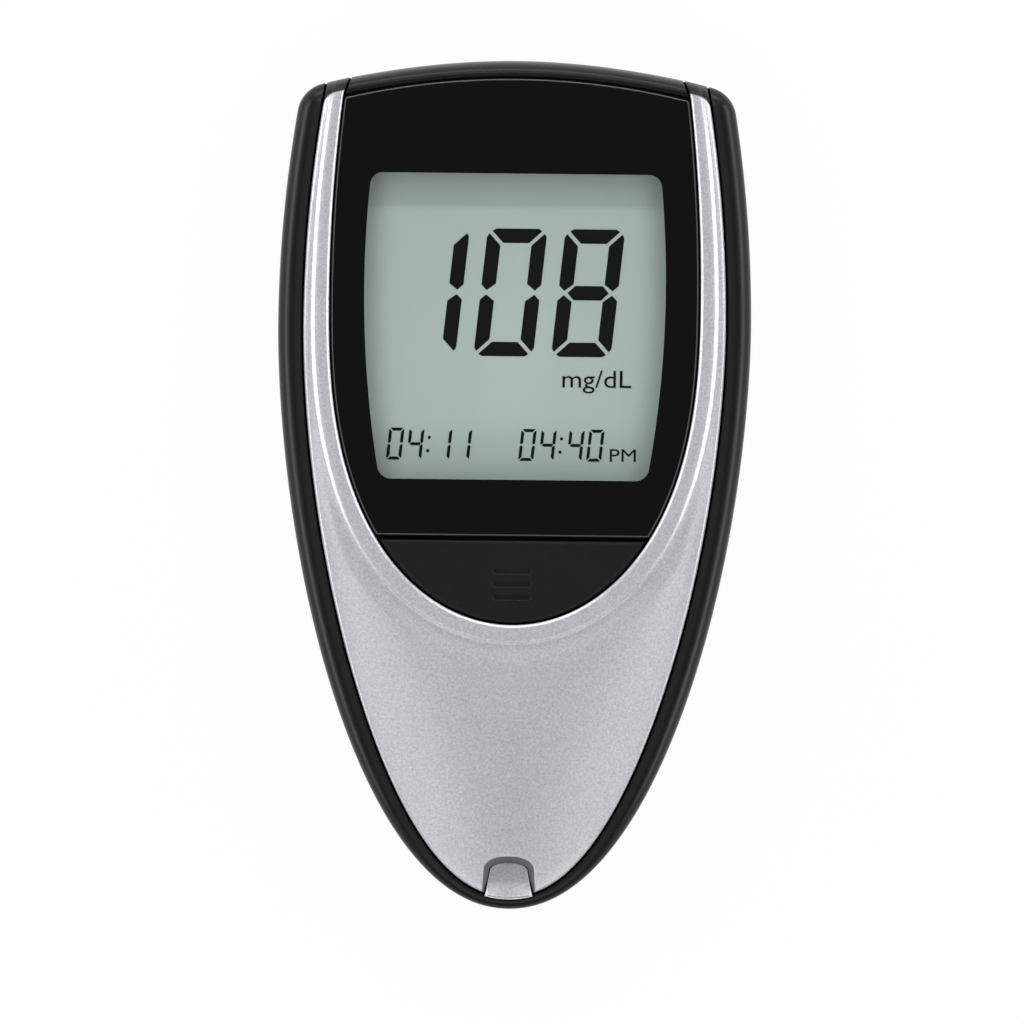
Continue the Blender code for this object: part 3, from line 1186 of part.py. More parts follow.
def strip_connector(front_y, body_finish, contact_finish):
    """Connector behind the port, with a slot for the strip and three spring contacts."""
    half = CONNECTOR_WIDTH / 2
    back_y = front_y + CONNECTOR_LENGTH
    top = ON_BOARD + CONNECTOR_HEIGHT
    body = block("strip_connector", (-half, half), (front_y, back_y), (ON_BOARD, top), body_finish)
    slot_half = STRIP_WIDTH / 2 + PLAY
    slot_top = STRIP_FLOOR + STRIP_SLOT
    slot_span = (front_y - OVERRUN, back_y - CONNECTOR_WALL)
    cut(body, block("strip_slot", (-slot_half, slot_half), slot_span, (STRIP_FLOOR - SEAT_GAP / 2, slot_top)))
    for i in range(3):
        x = (i - 1) * CONTACT_PITCH
        room = CONTACT_WIDTH / 2 + SEAT_GAP
        cut(body, block(f"contact_slot_{i}", (x - room, x + room),
                        (back_y - CONNECTOR_WALL - SINK, back_y + SINK),
                        (slot_top - 4 * CONTACT_THICK, slot_top + SEAT_GAP / 2)))
        tail = back_y + 2 * SEAT_GAP
        front = front_y + CONNECTOR_LENGTH / 4
        high = slot_top - CONTACT_THICK
        path = [(tail, ON_BOARD), (tail, high), (back_y - 2 * CONNECTOR_WALL, high),
                (front + CONNECTOR_WALL, high - 3 * CONTACT_THICK), (front, high - CONTACT_THICK)]
        lower = [(y, z - CONTACT_THICK) for y, z in path[2:]]
        profile = path + lower[::-1] + [(tail - CONTACT_THICK, high - CONTACT_THICK),
                                        (tail - CONTACT_THICK, ON_BOARD)]
        side_profile(f"strip_contact_{i + 1}", profile, (x - CONTACT_WIDTH / 2, x + CONTACT_WIDTH / 2),
                     contact_finish)


def case_screws(finish):
    """Screws from the back through post and board into the bosses."""
    shoulder = SCREW_RECESS - SEAT_GAP
    tip = ON_BOARD + SCREW_GRIP - PLAY
    profile = [(SCREW_HEAD_RADIUS, shoulder - SCREW_HEAD_HEIGHT), (SCREW_HEAD_RADIUS, shoulder),
               (SCREW_RADIUS, shoulder), (SCREW_RADIUS, tip - SCREW_RADIUS), (SCREW_RADIUS / 3, tip)]
    for i, (x, y) in enumerate(top_screws() + low_screws()):
        turned(f"case_screw_{i + 1}", profile, finish, (x, y, 0))


def build():
    """Make every piece of the meter."""
    clear_scene()
    black = material("black_shell", (0.012, 0.012, 0.013), 0.45)
    silver = material("silver_paint", (0.52, 0.52, 0.56), 0.36, 0.6)
    lens = material("lens_print", (0.006, 0.006, 0.006), 0.08)
    soft_black = material("button_black", (0.014, 0.014, 0.015), 0.6)
    glass = material("display_glass", (0.42, 0.48, 0.45), 0.25)
    film = material("display_film", (0.5, 0.56, 0.53), 0.4)
    white = material("white_plastic", (0.75, 0.75, 0.72), 0.5)
    rubber = material("contact_rubber", (0.03, 0.03, 0.03), 0.8)
    tape = material("adhesive_tape", (0.02, 0.02, 0.02), 0.9)
    board = material("board_green", (0.02, 0.12, 0.05), 0.5)
    chip = material("chip_black", (0.02, 0.02, 0.02), 0.5)
    steel = material("bright_steel", (0.62, 0.62, 0.6), 0.3, 1.0)
    gold = material("contact_gold", (0.8, 0.6, 0.25), 0.3, 1.0)
    ceramic = material("ceramic_tan", (0.45, 0.33, 0.2), 0.6)
    rear_case(black)
    front_bezel(silver)
    display_frame(black)
    display_lens(lens)
    lens_tape(tape)
    memory_button(soft_black)
    connector_y = connector_front()
    strip_guide(connector_y, silver)
    display_module(glass, film, white, rubber)
    main_board(board)
    components(connector_y, chip, steel, ceramic, soft_black)
    switch("memory", 0, BUTTON_Y, ON_BOARD, SWITCH_TOP, True, chip, white)
    switch("set", SET_X, SET_Y, SET_SWITCH_BASE, UNDER_BOARD, False, chip, white)
    set_button(soft_black)
    strip_connector(connector_y, white, gold)
    battery_door(black)
    coin_cell(steel)
    battery_contacts(steel)
    case_screws(steel)


build()
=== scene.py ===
# %% [markdown]
# A blood glucose meter lies on its back: a black tub with a rail round its front, a silver
# bezel that frames the display and sweeps into a tongue, and a port for the test strip at the tip.
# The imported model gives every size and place. This script makes the pieces that show again, finely
# enough for close views, and gives each one the finish of the real thing.

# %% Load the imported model
import functools
import math

import bmesh
import bpy
import mathutils
import numpy as np
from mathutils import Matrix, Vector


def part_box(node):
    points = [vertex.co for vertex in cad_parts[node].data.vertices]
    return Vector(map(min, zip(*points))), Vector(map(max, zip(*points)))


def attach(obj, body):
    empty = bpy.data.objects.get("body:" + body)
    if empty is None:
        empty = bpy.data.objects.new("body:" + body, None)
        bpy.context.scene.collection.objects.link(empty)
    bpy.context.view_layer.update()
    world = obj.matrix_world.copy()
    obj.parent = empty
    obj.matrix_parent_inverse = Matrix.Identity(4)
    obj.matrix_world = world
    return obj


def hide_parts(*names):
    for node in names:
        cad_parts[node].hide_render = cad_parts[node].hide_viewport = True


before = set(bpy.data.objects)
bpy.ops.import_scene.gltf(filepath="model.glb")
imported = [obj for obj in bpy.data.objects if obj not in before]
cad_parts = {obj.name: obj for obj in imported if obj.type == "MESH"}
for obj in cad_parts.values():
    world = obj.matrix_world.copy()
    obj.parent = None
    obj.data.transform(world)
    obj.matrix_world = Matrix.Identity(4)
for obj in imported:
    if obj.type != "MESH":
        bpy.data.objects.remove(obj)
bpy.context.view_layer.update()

# %% [markdown]
# All curves of the front belong together, so they come from a few driving sizes. The overall ones
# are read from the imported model, and the radii and powers are the real product's, in metres.

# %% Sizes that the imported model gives
MM = 0.001
lens_low, lens_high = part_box("display_lens")
key_low, key_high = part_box("memory_button")
film_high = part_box("lcd_film")[1]
board_low, board_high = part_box("main_board")
ramp_low, ramp_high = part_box("strip_guide")
bezel_low, bezel_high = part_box("front_bezel")
cell_low, cell_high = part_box("coin_cell")
door_low, door_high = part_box("battery_door")
set_low, set_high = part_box("set_button")
case_low, case_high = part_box("rear_case")
HALF_WIDTH, HEIGHT = case_high.x, bezel_high.z
TOP_Y, TIP_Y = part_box("display_frame")[1].y, case_low.y
LENGTH = TOP_Y - TIP_Y
print(f"length {LENGTH / MM:.1f} mm, width {2 * HALF_WIDTH / MM:.1f} mm, height {HEIGHT / MM:.1f} mm")

# %% Sizes of the curves
WIDEST_Y = LENGTH * 0.1856
COLLAR_WIDEST_Y = LENGTH * 0.2216
SIDE_RADIUS, TOP_RADIUS, CORNER_RADIUS = 153.6 * MM, 89 * MM, 3.8 * MM
TAPER_POWER, TAPER_ROOT = 1.757, 0.4832
RAIL_WIDTH, RAIL_THINNING, RAIL_ROUND = 2.92 * MM, 1.5 * MM, 2.6 * MM
SEAM_RADIUS, SEAM_GAP, SEAM_STEP = 160 * MM, 0.26 * MM, 0.5 * MM
ARM_WIDTH = 2.9 * MM
EDGE_DROP, TIP_DROP, TIP_DROP_POWER = 0.85 * MM, 4.1 * MM, 1.8
END_ROUND, END_DROP, LEAN = 1.7 * MM, 3.6 * MM, 0.25
COLLAR_HALF = HALF_WIDTH - RAIL_WIDTH - ARM_WIDTH
COLLAR_RADIUS, COLLAR_POWER = 192 * MM, 2.57
COLLAR_BOTTOM_Y = TIP_Y + 32.5 * MM
SEAT_GAP, PLAY = 0.2 * MM, 0.3 * MM
DENSE, FINE = 3000, 1200
TURN_LENGTH, THINNING_POWER = 12 * MM, 4


def sagitta(radius, reach):
    """How far an arc falls away: the radius less the root of its square less the reach squared."""
    return radius - np.sqrt(radius**2 - reach**2)


def top_edge(x):
    """The body's top end is an arc about a centre on the middle line."""
    return TOP_Y - sagitta(TOP_RADIUS, x)


def points_at(x, y):
    """Points from their x and their y."""
    return np.stack([x, y], axis=1)


def turns(steps):
    """The angles of a quarter turn."""
    return np.linspace(0, np.pi / 2, steps)


def round_steps(inward, down, steps):
    """How far a round has come in and how far it still is below its top, from its side to its top."""
    return [(inward * (1 - math.cos(turn)), down * (1 - math.sin(turn))) for turn in turns(steps)]


def arc(centre, radius, first, last, steps):
    """Points on an arc, short of its last one."""
    turn = np.linspace(first, last, steps, endpoint=False)
    return np.asarray(centre) + radius * points_at(np.cos(turn), np.sin(turn))


def resampled(curve, spent, steps):
    """Points spread evenly along a curve by what each of its runs counts for."""
    total = np.concatenate([[0], np.cumsum(spent)])
    even = np.linspace(0, total[-1], steps)
    return points_at(np.interp(even, total, curve[:, 0]), np.interp(even, total, curve[:, 1]))


def respaced(curve, steps):
    """A curve with fewer points, spread by length plus a length for each radian of turning."""
    run = np.diff(curve, axis=0)
    angle = np.unwrap(np.arctan2(run[:, 1], run[:, 0]))
    spent = np.linalg.norm(run, axis=1) + TURN_LENGTH * np.abs(np.gradient(angle))
    return resampled(curve, spent, steps)


def offset_curve(curve, distance):
    """Every point moved along its normal, outwards on the right half of the body."""
    along = np.gradient(curve, axis=0)
    along[-1] = (-1, 0)
    normal = points_at(-along[:, 1], along[:, 0])
    normal /= np.linalg.norm(normal, axis=1)[:, None]
    return curve + normal * np.reshape(distance, (-1, 1))


def quarter(half, top_y, low_y, x_power, y_power, steps):
    """A quarter of a blunt oval: x is a power of the cosine and y a power of the sine."""
    turn = turns(DENSE)
    x = half * np.cos(turn) ** x_power
    x[-1] = 0
    return respaced(points_at(x, top_y - (top_y - low_y) * np.sin(turn) ** y_power), steps)


def taper(steps):
    """The body's side from its widest point down to the tip."""
    return quarter(HALF_WIDTH, WIDEST_Y, TIP_Y, 2 * TAPER_ROOT, 2 / TAPER_POWER, steps)


def rail_width(y):
    """The rail keeps its width beside the display and thins by a power towards the tip."""
    return RAIL_WIDTH - RAIL_THINNING * np.clip(-y / (LENGTH / 2), 0, 1) ** THINNING_POWER


def edge_height(y):
    """Height of the seam between rail and bezel, which falls by a power towards the tip."""
    return HEIGHT - EDGE_DROP - TIP_DROP * np.clip(-y / (LENGTH / 2), 0, 1) ** TIP_DROP_POWER


print("collar half width", round(COLLAR_HALF / MM, 2), "mm")

# %% [markdown]
# Two closed outlines carry the whole body: the silhouette, which is also set in to draw walls, and
# the seam beside the bezel. Near the top end the collar's edge leans in, as it does where a real
# moulding turns down over its end.

# %% Outlines of body, seam and collar
TOP_STEPS, CORNER_STEPS, SIDE_STEPS, TAPER_STEPS = 44, 16, 44, 120
ON_AXIS = MM / 10000


def body_outline(inset):
    """Top arc, corner round, side arc and taper, each set in by the same distance, then mirrored."""
    radius = max(CORNER_RADIUS - inset, CORNER_RADIUS / 4)
    side_centre = np.array([HALF_WIDTH - SIDE_RADIUS, WIDEST_Y])
    top_centre = np.array([0, TOP_Y - TOP_RADIUS])
    side_reach, top_reach = SIDE_RADIUS - inset - radius, TOP_RADIUS - inset - radius
    between = top_centre - side_centre
    apart = np.linalg.norm(between)
    along = (side_reach**2 - top_reach**2 + apart**2) / (2 * apart)
    across = math.sqrt(side_reach**2 - along**2)
    unit = between / apart
    centre = side_centre + unit * along + np.array([-unit[1], unit[0]]) * across
    start = math.atan2(*(centre - top_centre)[::-1])
    end = math.atan2(*(centre - side_centre)[::-1])
    top = arc(top_centre, TOP_RADIUS - inset, math.pi / 2, start, TOP_STEPS)
    top[0, 0] = 0
    return mirrored(np.concatenate([top, arc(centre, radius, start, end, CORNER_STEPS),
                                    arc(side_centre, SIDE_RADIUS - inset, end, 0, SIDE_STEPS),
                                    offset_curve(taper(TAPER_STEPS), -inset)]))


def mirrored(right):
    """A closed outline from its right half, which starts and ends on or near the middle line."""
    left = right[::-1] * (-1, 1)
    return np.concatenate([right, left[left[:, 0] < -ON_AXIS]])


def lean(x, y):
    """How far the collar's edge leans in above the line where the top end starts to turn down."""
    return LEAN * np.maximum(0, y - (top_edge(x) - END_ROUND))


def seam_side(y):
    """The x of the seam beside the display."""
    return HALF_WIDTH - RAIL_WIDTH - sagitta(SEAM_RADIUS, y - WIDEST_Y)


def collar_side(y):
    """The x of the collar's inner edge beside the display."""
    x = COLLAR_HALF - sagitta(COLLAR_RADIUS, y - COLLAR_WIDEST_Y)
    return x - lean(x, y)


def seam_curve(outwards, top_y, side_steps, taper_steps):
    """Right half of the seam, moved outwards, from some y down to the tip."""
    y = np.linspace(top_y, WIDEST_Y, side_steps)[:-1]
    low = taper(taper_steps)
    low = offset_curve(low, outwards - rail_width(low[:, 1]))
    return np.concatenate([points_at(seam_side(y) + outwards, y), low])


def collar_curve(outwards, top_y, side_steps=40, low_steps=110):
    """Right half of the collar's inner edge, moved outwards, from some y down to its bottom."""
    y = np.linspace(top_y, COLLAR_WIDEST_Y, side_steps)[:-1]
    low = quarter(COLLAR_HALF, COLLAR_WIDEST_Y, COLLAR_BOTTOM_Y, 1, 2 / COLLAR_POWER, low_steps)
    return np.concatenate([points_at(collar_side(y) + outwards, y), offset_curve(low, outwards)])


print("silhouette points:", len(body_outline(0)))

# %% Plan of the strip ramp
PORT_WIDTH, ARCH_WIDTH, ARCH_RISE, ARCH_POWER = 6.2 * MM, 5.8 * MM, 1.7 * MM, 2.3
RAMP_LIP, RAMP_LENGTH, RAMP_HEAD, RAMP_HEAD_POWER = 1.1 * MM, 4.18 * MM, 1.2 * MM, 2.5
RAMP_WIDTH, RAMP_INNER_WIDTH, RAMP_BOW, RAMP_GAP = 5.46 * MM, 4.38 * MM, 0.37 * MM, 0.1 * MM
PORT_DRAFT, PORT_ROUND = 0.74 * MM, 0.16 * MM
RAMP_TIP_Y = TIP_Y + RAMP_LIP
RAMP_INNER_Y = RAMP_TIP_Y + RAMP_LENGTH
ARCH_Y = RAMP_INNER_Y + PORT_DRAFT


def ramp_plan(share, across, room=0):
    """Rows run from the bowed lip to the blunt head, and narrow on the way in."""
    half = (RAMP_WIDTH + (RAMP_INNER_WIDTH - RAMP_WIDTH) * share) / 2 + room
    blunt = (1 - np.abs(across) ** RAMP_HEAD_POWER) ** (1 / RAMP_HEAD_POWER)
    lip = RAMP_TIP_Y - room + RAMP_BOW * across**2
    head = RAMP_INNER_Y + room - RAMP_HEAD * (1 - blunt)
    return points_at(half * across, lip + (head - lip) * share)


across = np.linspace(-1, 1, 61)
RAMP_NOTCH = np.concatenate([ramp_plan(0, across, RAMP_GAP), ramp_plan(1, across[::-1], RAMP_GAP)])
print("ramp notch points:", len(RAMP_NOTCH))

# %% [markdown]
# A moulded piece is a closed skin. One helper turns rows of points into such a skin, one cuts or
# joins skins, and one sets soft shading with crisp edges. Face normals are weighted by area, so
# that wide flats stay flat beside small rounds.

# %% Helpers that make solids
ROUND_STEPS, CORNER_POINTS = 64, 12


def in_scene(name, data):
    """An object for a mesh, lamp or camera, linked to the scene."""
    thing = bpy.data.objects.new(name, data)
    bpy.context.scene.collection.objects.link(thing)
    return thing


def skin(name, points, faces, *finishes):
    """A mesh piece from points and faces, with its normals turned outwards."""
    mesh = bpy.data.meshes.new(name)
    mesh.from_pydata(np.asarray(points, float).reshape(-1, 3).tolist(), [], faces)
    data = bmesh.new()
    data.from_mesh(mesh)
    bmesh.ops.recalc_face_normals(data, faces=data.faces)
    data.to_mesh(mesh)
    data.free()
    for finish in finishes:
        mesh.materials.append(finish)
    return in_scene(name, mesh)


def walls_between(near, far):
    """Quads between two rings of point numbers."""
    quads = np.stack([near, np.roll(near, -1, -1), np.roll(far, -1, -1), far], axis=-1)
    return quads.reshape(-1, 4).tolist()


def loft(name, rows, *finishes):
    """A closed solid: quads between neighbouring rows of equally many points, and a cap at each end."""
    rows = np.asarray(rows, float)
    index = np.arange(rows.shape[0] * rows.shape[1]).reshape(rows.shape[:2])
    caps = [index[0, ::-1].tolist(), index[-1].tolist()]
    return skin(name, rows, walls_between(index[:-1], index[1:]) + caps, *finishes)


def at_height(outline, z):
    """An outline lifted to a height, or to one height for each point."""
    outline = np.asarray(outline, float)
    return np.column_stack([outline, np.broadcast_to(z, len(outline))])


def prism(name, outline, low, high, *finishes):
    """An outline drawn up from one height to another."""
    return loft(name, [at_height(outline, low), at_height(outline, high)], *finishes)


def block(name, xs, ys, zs):
    """A straight-sided solid between two values along each axis."""
    return prism(name, [(xs[0], ys[0]), (xs[1], ys[0]), (xs[1], ys[1]), (xs[0], ys[1])], *zs)


def turned(name, profile, centre, *finishes):
    """A solid turned about an upright axis through (radius, height) pairs."""
    rows = [at_height(arc(centre, radius, 0, 2 * np.pi, ROUND_STEPS), z) for radius, z in profile]
    return loft(name, rows, *finishes)


def cylinder(name, radius, low, high, centre):
    """A plain round solid between two heights."""
    return turned(name, [(radius, low), (radius, high)], centre)


def rounded_rectangle(width, height, radius, centre):
    """A rectangle whose corners are quarter circles."""
    parts = []
    for i, (sx, sy) in enumerate(((1, 1), (-1, 1), (-1, -1), (1, -1))):
        angle = turns(CORNER_POINTS) + i * np.pi / 2
        corner = (centre[0] + sx * (width / 2 - radius), centre[1] + sy * (height / 2 - radius))
        parts.append(corner + radius * points_at(np.cos(angle), np.sin(angle)))
    return np.concatenate(parts)


def carve(piece, operation, *tools):
    """Cut (DIFFERENCE) or join (UNION) other solids, keep the result as the mesh, and drop the tools."""
    for tool in tools:
        modifier = piece.modifiers.new(tool.name, "BOOLEAN")
        modifier.operation = operation
        modifier.solver = "EXACT"
        modifier.object = tool
    bpy.context.view_layer.update()
    worked = piece.evaluated_get(bpy.context.evaluated_depsgraph_get())
    mesh = bpy.data.meshes.new_from_object(worked)
    piece.modifiers.clear()
    piece.data = mesh
    for tool in tools:
        bpy.data.objects.remove(tool)
    return piece


def smooth_piece(piece, slot, *nodes, body="meter_body", angle=32):
    """Soft shading with crisp edges, then the piece's body and the nodes it stands for. The slot is not used.
    """
    piece.data.shade_smooth()
    piece.data.set_sharp_from_angle(angle=math.radians(angle))
    even = piece.modifiers.new("even_normals", "WEIGHTED_NORMAL")
    even.keep_sharp = True
    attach(piece, body)
    if nodes:
        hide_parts(*nodes)
    print(f"{piece.name}: {len(piece.data.polygons)} faces on {body}")


# %% [markdown]
# Moulded plastic and paint are never perfectly even. A fine spark-eroded grain breaks up the
# reflections, the colour drifts a little, and every edge is slightly round and catches the light.
# These effects are shared, so they are node groups that each material places with its own values.

# %% Shared effects as node groups
DRIFT_SCALE, FINE_DETAIL, FINE_ROUGHNESS, BROAD_DETAIL, BEVEL_SAMPLES = 260.0, 3.0, 0.6, 2.0, 6


def feed(tree, node, sockets):
    """Each input of a node gets another node's output, or a plain value."""
    for socket, value in sockets.items():
        if isinstance(value, bpy.types.NodeSocket):
            tree.links.new(value, node.inputs[socket])
        else:
            node.inputs[socket].default_value = value


def add_node(tree, kind, sockets=None, **settings):
    """A node with its settings and inputs."""
    node = tree.nodes.new("ShaderNode" + kind)
    for key, value in settings.items():
        setattr(node, key, value)
    feed(tree, node, sockets or {})
    return node


def calc(tree, operation, *values):
    """A Math node's result, from values or sockets."""
    return add_node(tree, "Math", dict(enumerate(values)), operation=operation).outputs[0]


def object_place(tree):
    """The Object coordinates, which are metres along the piece."""
    return add_node(tree, "TexCoord").outputs["Object"]


def new_group(name, inputs, outputs):
    """An empty shader group. A tuple makes a colour input, and every other value a number."""
    group = bpy.data.node_groups.new(name, "ShaderNodeTree")
    for socket, value in inputs.items():
        kind = "NodeSocketColor" if isinstance(value, tuple) else "NodeSocketFloat"
        group.interface.new_socket(name=socket, in_out="INPUT", socket_type=kind).default_value = value
    for socket, kind in outputs.items():
        group.interface.new_socket(name=socket, in_out="OUTPUT", socket_type="NodeSocket" + kind)
    return group, group.nodes.new("NodeGroupInput").outputs, group.nodes.new("NodeGroupOutput")


def moulded_grain():
    """Noise along the piece gives a normal with round edges and grain, a roughness and a colour drift."""
    group, given, made = new_group(
        "moulded_grain",
        {"Grain Scale": 4000, "Grain Depth": 0.01 * MM, "Edge Radius": 0.1 * MM, "Roughness": 0.4,
         "Roughness Spread": 0.05, "Colour": (0.5, 0.5, 0.5, 1), "Drift": 0.05},
        {"Colour": "Color", "Roughness": "Float", "Normal": "Vector"})
    place = object_place(group)
    fine = add_node(group, "TexNoise", {"Vector": place, "Scale": given["Grain Scale"],
                                        "Detail": FINE_DETAIL, "Roughness": FINE_ROUGHNESS}).outputs["Fac"]
    broad = add_node(group, "TexNoise", {"Vector": place, "Scale": DRIFT_SCALE,
                                         "Detail": BROAD_DETAIL}).outputs["Fac"]
    speckle = calc(group, "SUBTRACT", fine, 0.5)
    both = calc(group, "ADD", calc(group, "SUBTRACT", broad, 0.5), speckle)
    rough = calc(group, "MULTIPLY_ADD", both, given["Roughness Spread"], given["Roughness"])
    shade = calc(group, "MULTIPLY_ADD", speckle, given["Drift"], 1.0)
    colour = add_node(group, "VectorMath", {0: given["Colour"], "Scale": shade}, operation="SCALE")
    edges = add_node(group, "Bevel", {"Radius": given["Edge Radius"]}, samples=BEVEL_SAMPLES)
    bump = add_node(group, "Bump", {"Height": fine, "Strength": 1.0, "Distance": given["Grain Depth"],
                                    "Normal": edges.outputs[0]})
    feed(group, made, {"Colour": colour.outputs[0], "Roughness": rough, "Normal": bump.outputs[0]})
    return group


# This mask marks where the arm turns down over the top end. Its near-black colour there is a painted dark
# reflection.
def arm_end_reflection_mask():
    """One past a line along the top end's arc, which bends away in a round near the seam, else nought."""
    group, given, made = new_group("arm_end_reflection_mask", {"Reach": 1.25 * MM, "Round": 1 * MM, "Fade": 0.3 * MM},
                                   {"Dark Reflection": "Float"})
    do = functools.partial(calc, group)
    axes = add_node(group, "SeparateXYZ", {0: object_place(group)}).outputs

    def arc_at(radius, away):
        return do("SQRT", do("SUBTRACT", radius**2, do("MULTIPLY", away, away)))

    below = do("SUBTRACT", do("ADD", arc_at(TOP_RADIUS, axes["X"]), TOP_Y - TOP_RADIUS), axes["Y"])
    seam_arc = arc_at(SEAM_RADIUS, do("SUBTRACT", axes["Y"], WIDEST_Y))
    inward = do("SUBTRACT", do("ADD", seam_arc, HALF_WIDTH - RAIL_WIDTH - SEAM_RADIUS),
                do("ABSOLUTE", axes["X"]))
    near = do("MAXIMUM", do("SUBTRACT", given["Round"], inward), 0.0)
    share = do("MINIMUM", do("DIVIDE", near, given["Round"]), 1.0)
    bend = do("SUBTRACT", 1.0, arc_at(1.0, share))
    line = do("MULTIPLY_ADD", bend, given["Round"], given["Reach"])
    past = do("DIVIDE", do("SUBTRACT", line, below), given["Fade"])
    mask = add_node(group, "MapRange", {"Value": past, "From Min": -0.5, "From Max": 0.5},
                    interpolation_type="SMOOTHSTEP")
    feed(group, made, {"Dark Reflection": mask.outputs[0]})
    return group


GRAIN, ARM_END_REFLECTION = moulded_grain(), arm_end_reflection_mask()
print("shared groups:", [group.name for group in bpy.data.node_groups])

# %% [markdown]
# One function makes a grained finish. Each material keeps its own Principled shader, whose plain
# numbers such as metal and shine are set on its sockets, and takes colour, roughness and normal
# from the shared group.

# %% Finishes of the moulded and painted pieces
DARK_END_REACH, DARK_END_ROUND, DARK_END_FADE = 1.42 * MM, 1.1 * MM, 0.3 * MM


def new_finish(name):
    """A material with its nodes and its Principled shader."""
    finish = bpy.data.materials.new(name)
    finish.use_nodes = True
    return finish, finish.node_tree, finish.node_tree.nodes["Principled BSDF"]


def grained(name, colour, roughness, metallic=0.0, grain=4000.0, depth=0.004 * MM, edge=0.1 * MM,
            spread=0.08, drift=0.08, shine=0.5):
    """A material whose colour, roughness and normal come from the grain group."""
    finish, tree, shader = new_finish(name)
    made = add_node(tree, "Group", {
        "Grain Scale": grain, "Grain Depth": depth, "Edge Radius": edge, "Roughness": roughness,
        "Roughness Spread": spread, "Colour": (*colour, 1), "Drift": drift}, node_tree=GRAIN).outputs
    feed(tree, shader, {"Metallic": metallic, "Specular IOR Level": shine, "Base Color": made["Colour"],
                        "Roughness": made["Roughness"], "Normal": made["Normal"]})
    return finish


SHELL_BLACK = grained("shell_black", (0.0055, 0.0055, 0.006), 0.3, grain=2600, depth=0.003 * MM,
                      edge=0.12 * MM, shine=0.18)
SILVER_PAINT = grained("bezel_silver", (0.54, 0.54, 0.576), 0.32, 0.4, depth=0.005 * MM, edge=0.12 * MM,
                       spread=0.1, drift=0.9, shine=0.15)
# The ramp has the bezel's paint, set lighter here: painted light that offsets the shade inside the port.
RAMP_PAINT_LIGHTENED = grained("ramp_silver_painted_light", (0.6, 0.6, 0.64), 0.32, 0.42, depth=0.007 * MM, spread=0.1, drift=0.9,
                     shine=0.15)
# Near-white silver for the ramp's rims and lip: a painted highlight.
RIM_PAINTED_HIGHLIGHT = grained("rim_painted_highlight", (0.86, 0.86, 0.88), 0.3, 0.5, grain=3000, edge=0.05 * MM)
PRINT_BLACK = grained("print_black", (0.0032, 0.0032, 0.0034), 0.12, grain=900, depth=0.0002 * MM,
                      spread=0.02, drift=0.02, shine=0.25)
KEY_BLACK = grained("key_black", (0.005, 0.005, 0.0055), 0.38, grain=3600, depth=0.012 * MM,
                    edge=0.15 * MM, drift=0.9, shine=0.22)
# Mid grey on the lens's bevel faces: a painted highlight for the bright line along the lens edge.
LENS_EDGE_HIGHLIGHT = grained("lens_edge", (0.07, 0.07, 0.073), 0.2, grain=900, depth=0.0002 * MM, edge=0, drift=0.2)
# Dark grey for the steep wall inside the strip port: painted shade, as that wall is silver paint in shadow.
PORT_WALL_SHADE = grained("port_wall_painted_shade", (0.14, 0.14, 0.147), 0.45, 0.2, grain=3000, depth=0.008 * MM,
                    edge=0.12 * MM, drift=0.4)
SEGMENT_BLACK = grained("segment_black", (0.004, 0.004, 0.004), 0.6, grain=900, depth=0, edge=0, shine=0.05)


def dark_reflection_ends(finish, colour):
    """The arm's end is painted near black, a painted dark reflection where it turns down over the top."""
    tree = finish.node_tree
    shader = tree.nodes["Principled BSDF"]
    metal = shader.inputs["Metallic"].default_value
    dark_share = add_node(tree, "Group", {"Reach": DARK_END_REACH, "Round": DARK_END_ROUND, "Fade": DARK_END_FADE},
                    node_tree=ARM_END_REFLECTION).outputs[0]
    mixed = add_node(tree, "Mix", {"Factor": dark_share, "A": shader.inputs["Base Color"].links[0].from_socket,
                                   "B": (*colour, 1)}, data_type="RGBA")
    feed(tree, shader, {"Base Color": mixed.outputs["Result"],
                        "Metallic": calc(tree, "MULTIPLY_ADD", dark_share, -metal, metal)})
    return finish


# Near black at the arm's ends: painted dark reflection on the silver bezel.
BEZEL_PAINT = dark_reflection_ends(SILVER_PAINT.copy(), (0.008, 0.008, 0.0087))
BEZEL_PAINT.name = "bezel_paint_dark_reflection"
print("finishes:", [finish.name for finish in bpy.data.materials])

# %% [markdown]
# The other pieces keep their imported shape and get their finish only. Inside there is a green board
# between white and black mouldings, with steel and gold where current flows. The coin cell's can
# is turned steel, so a wave texture of rings is added to a copy of the plain steel.

# %% Finishes of the inner pieces
FINISHES = {
    "display_film": grained("film_green", (0.545, 0.632, 0.595), 0.5, grain=1500, depth=0, edge=0,
                            drift=0.05),
    "display_glass": grained("glass_pane", (0.42, 0.48, 0.45), 0.15, grain=500, depth=0, drift=0.03),
    "bracket_white": grained("bracket_white", (0.72, 0.72, 0.69), 0.45, grain=3000),
    "contact_rubber": grained("rubber_stack", (0.03, 0.03, 0.03), 0.75, grain=5000),
    "board_green": grained("board_green", (0.012, 0.10, 0.035), 0.38, grain=700, depth=0.01 * MM,
                           drift=0.5),
    "component_black": grained("component_black", (0.02, 0.02, 0.021), 0.45, grain=5000),
    "bright_steel": grained("bright_steel", (0.60, 0.60, 0.58), 0.28, 1.0, grain=2000, spread=0.15),
    "contact_gold": grained("contact_gold", (0.78, 0.56, 0.22), 0.28, 1.0, grain=3000),
    "ceramic_tan": grained("ceramic_tan", (0.42, 0.30, 0.18), 0.5, grain=3000),
    "adhesive_tape": grained("adhesive_tape", (0.02, 0.02, 0.02), 0.8, grain=2500),
    "plunger_white": grained("plunger_white", (0.7, 0.7, 0.68), 0.5, grain=3000),
    "black_shell": SHELL_BLACK,
    "silver_paint": SILVER_PAINT,
    "button_black": KEY_BLACK,
    "lens_panel": PRINT_BLACK,
}
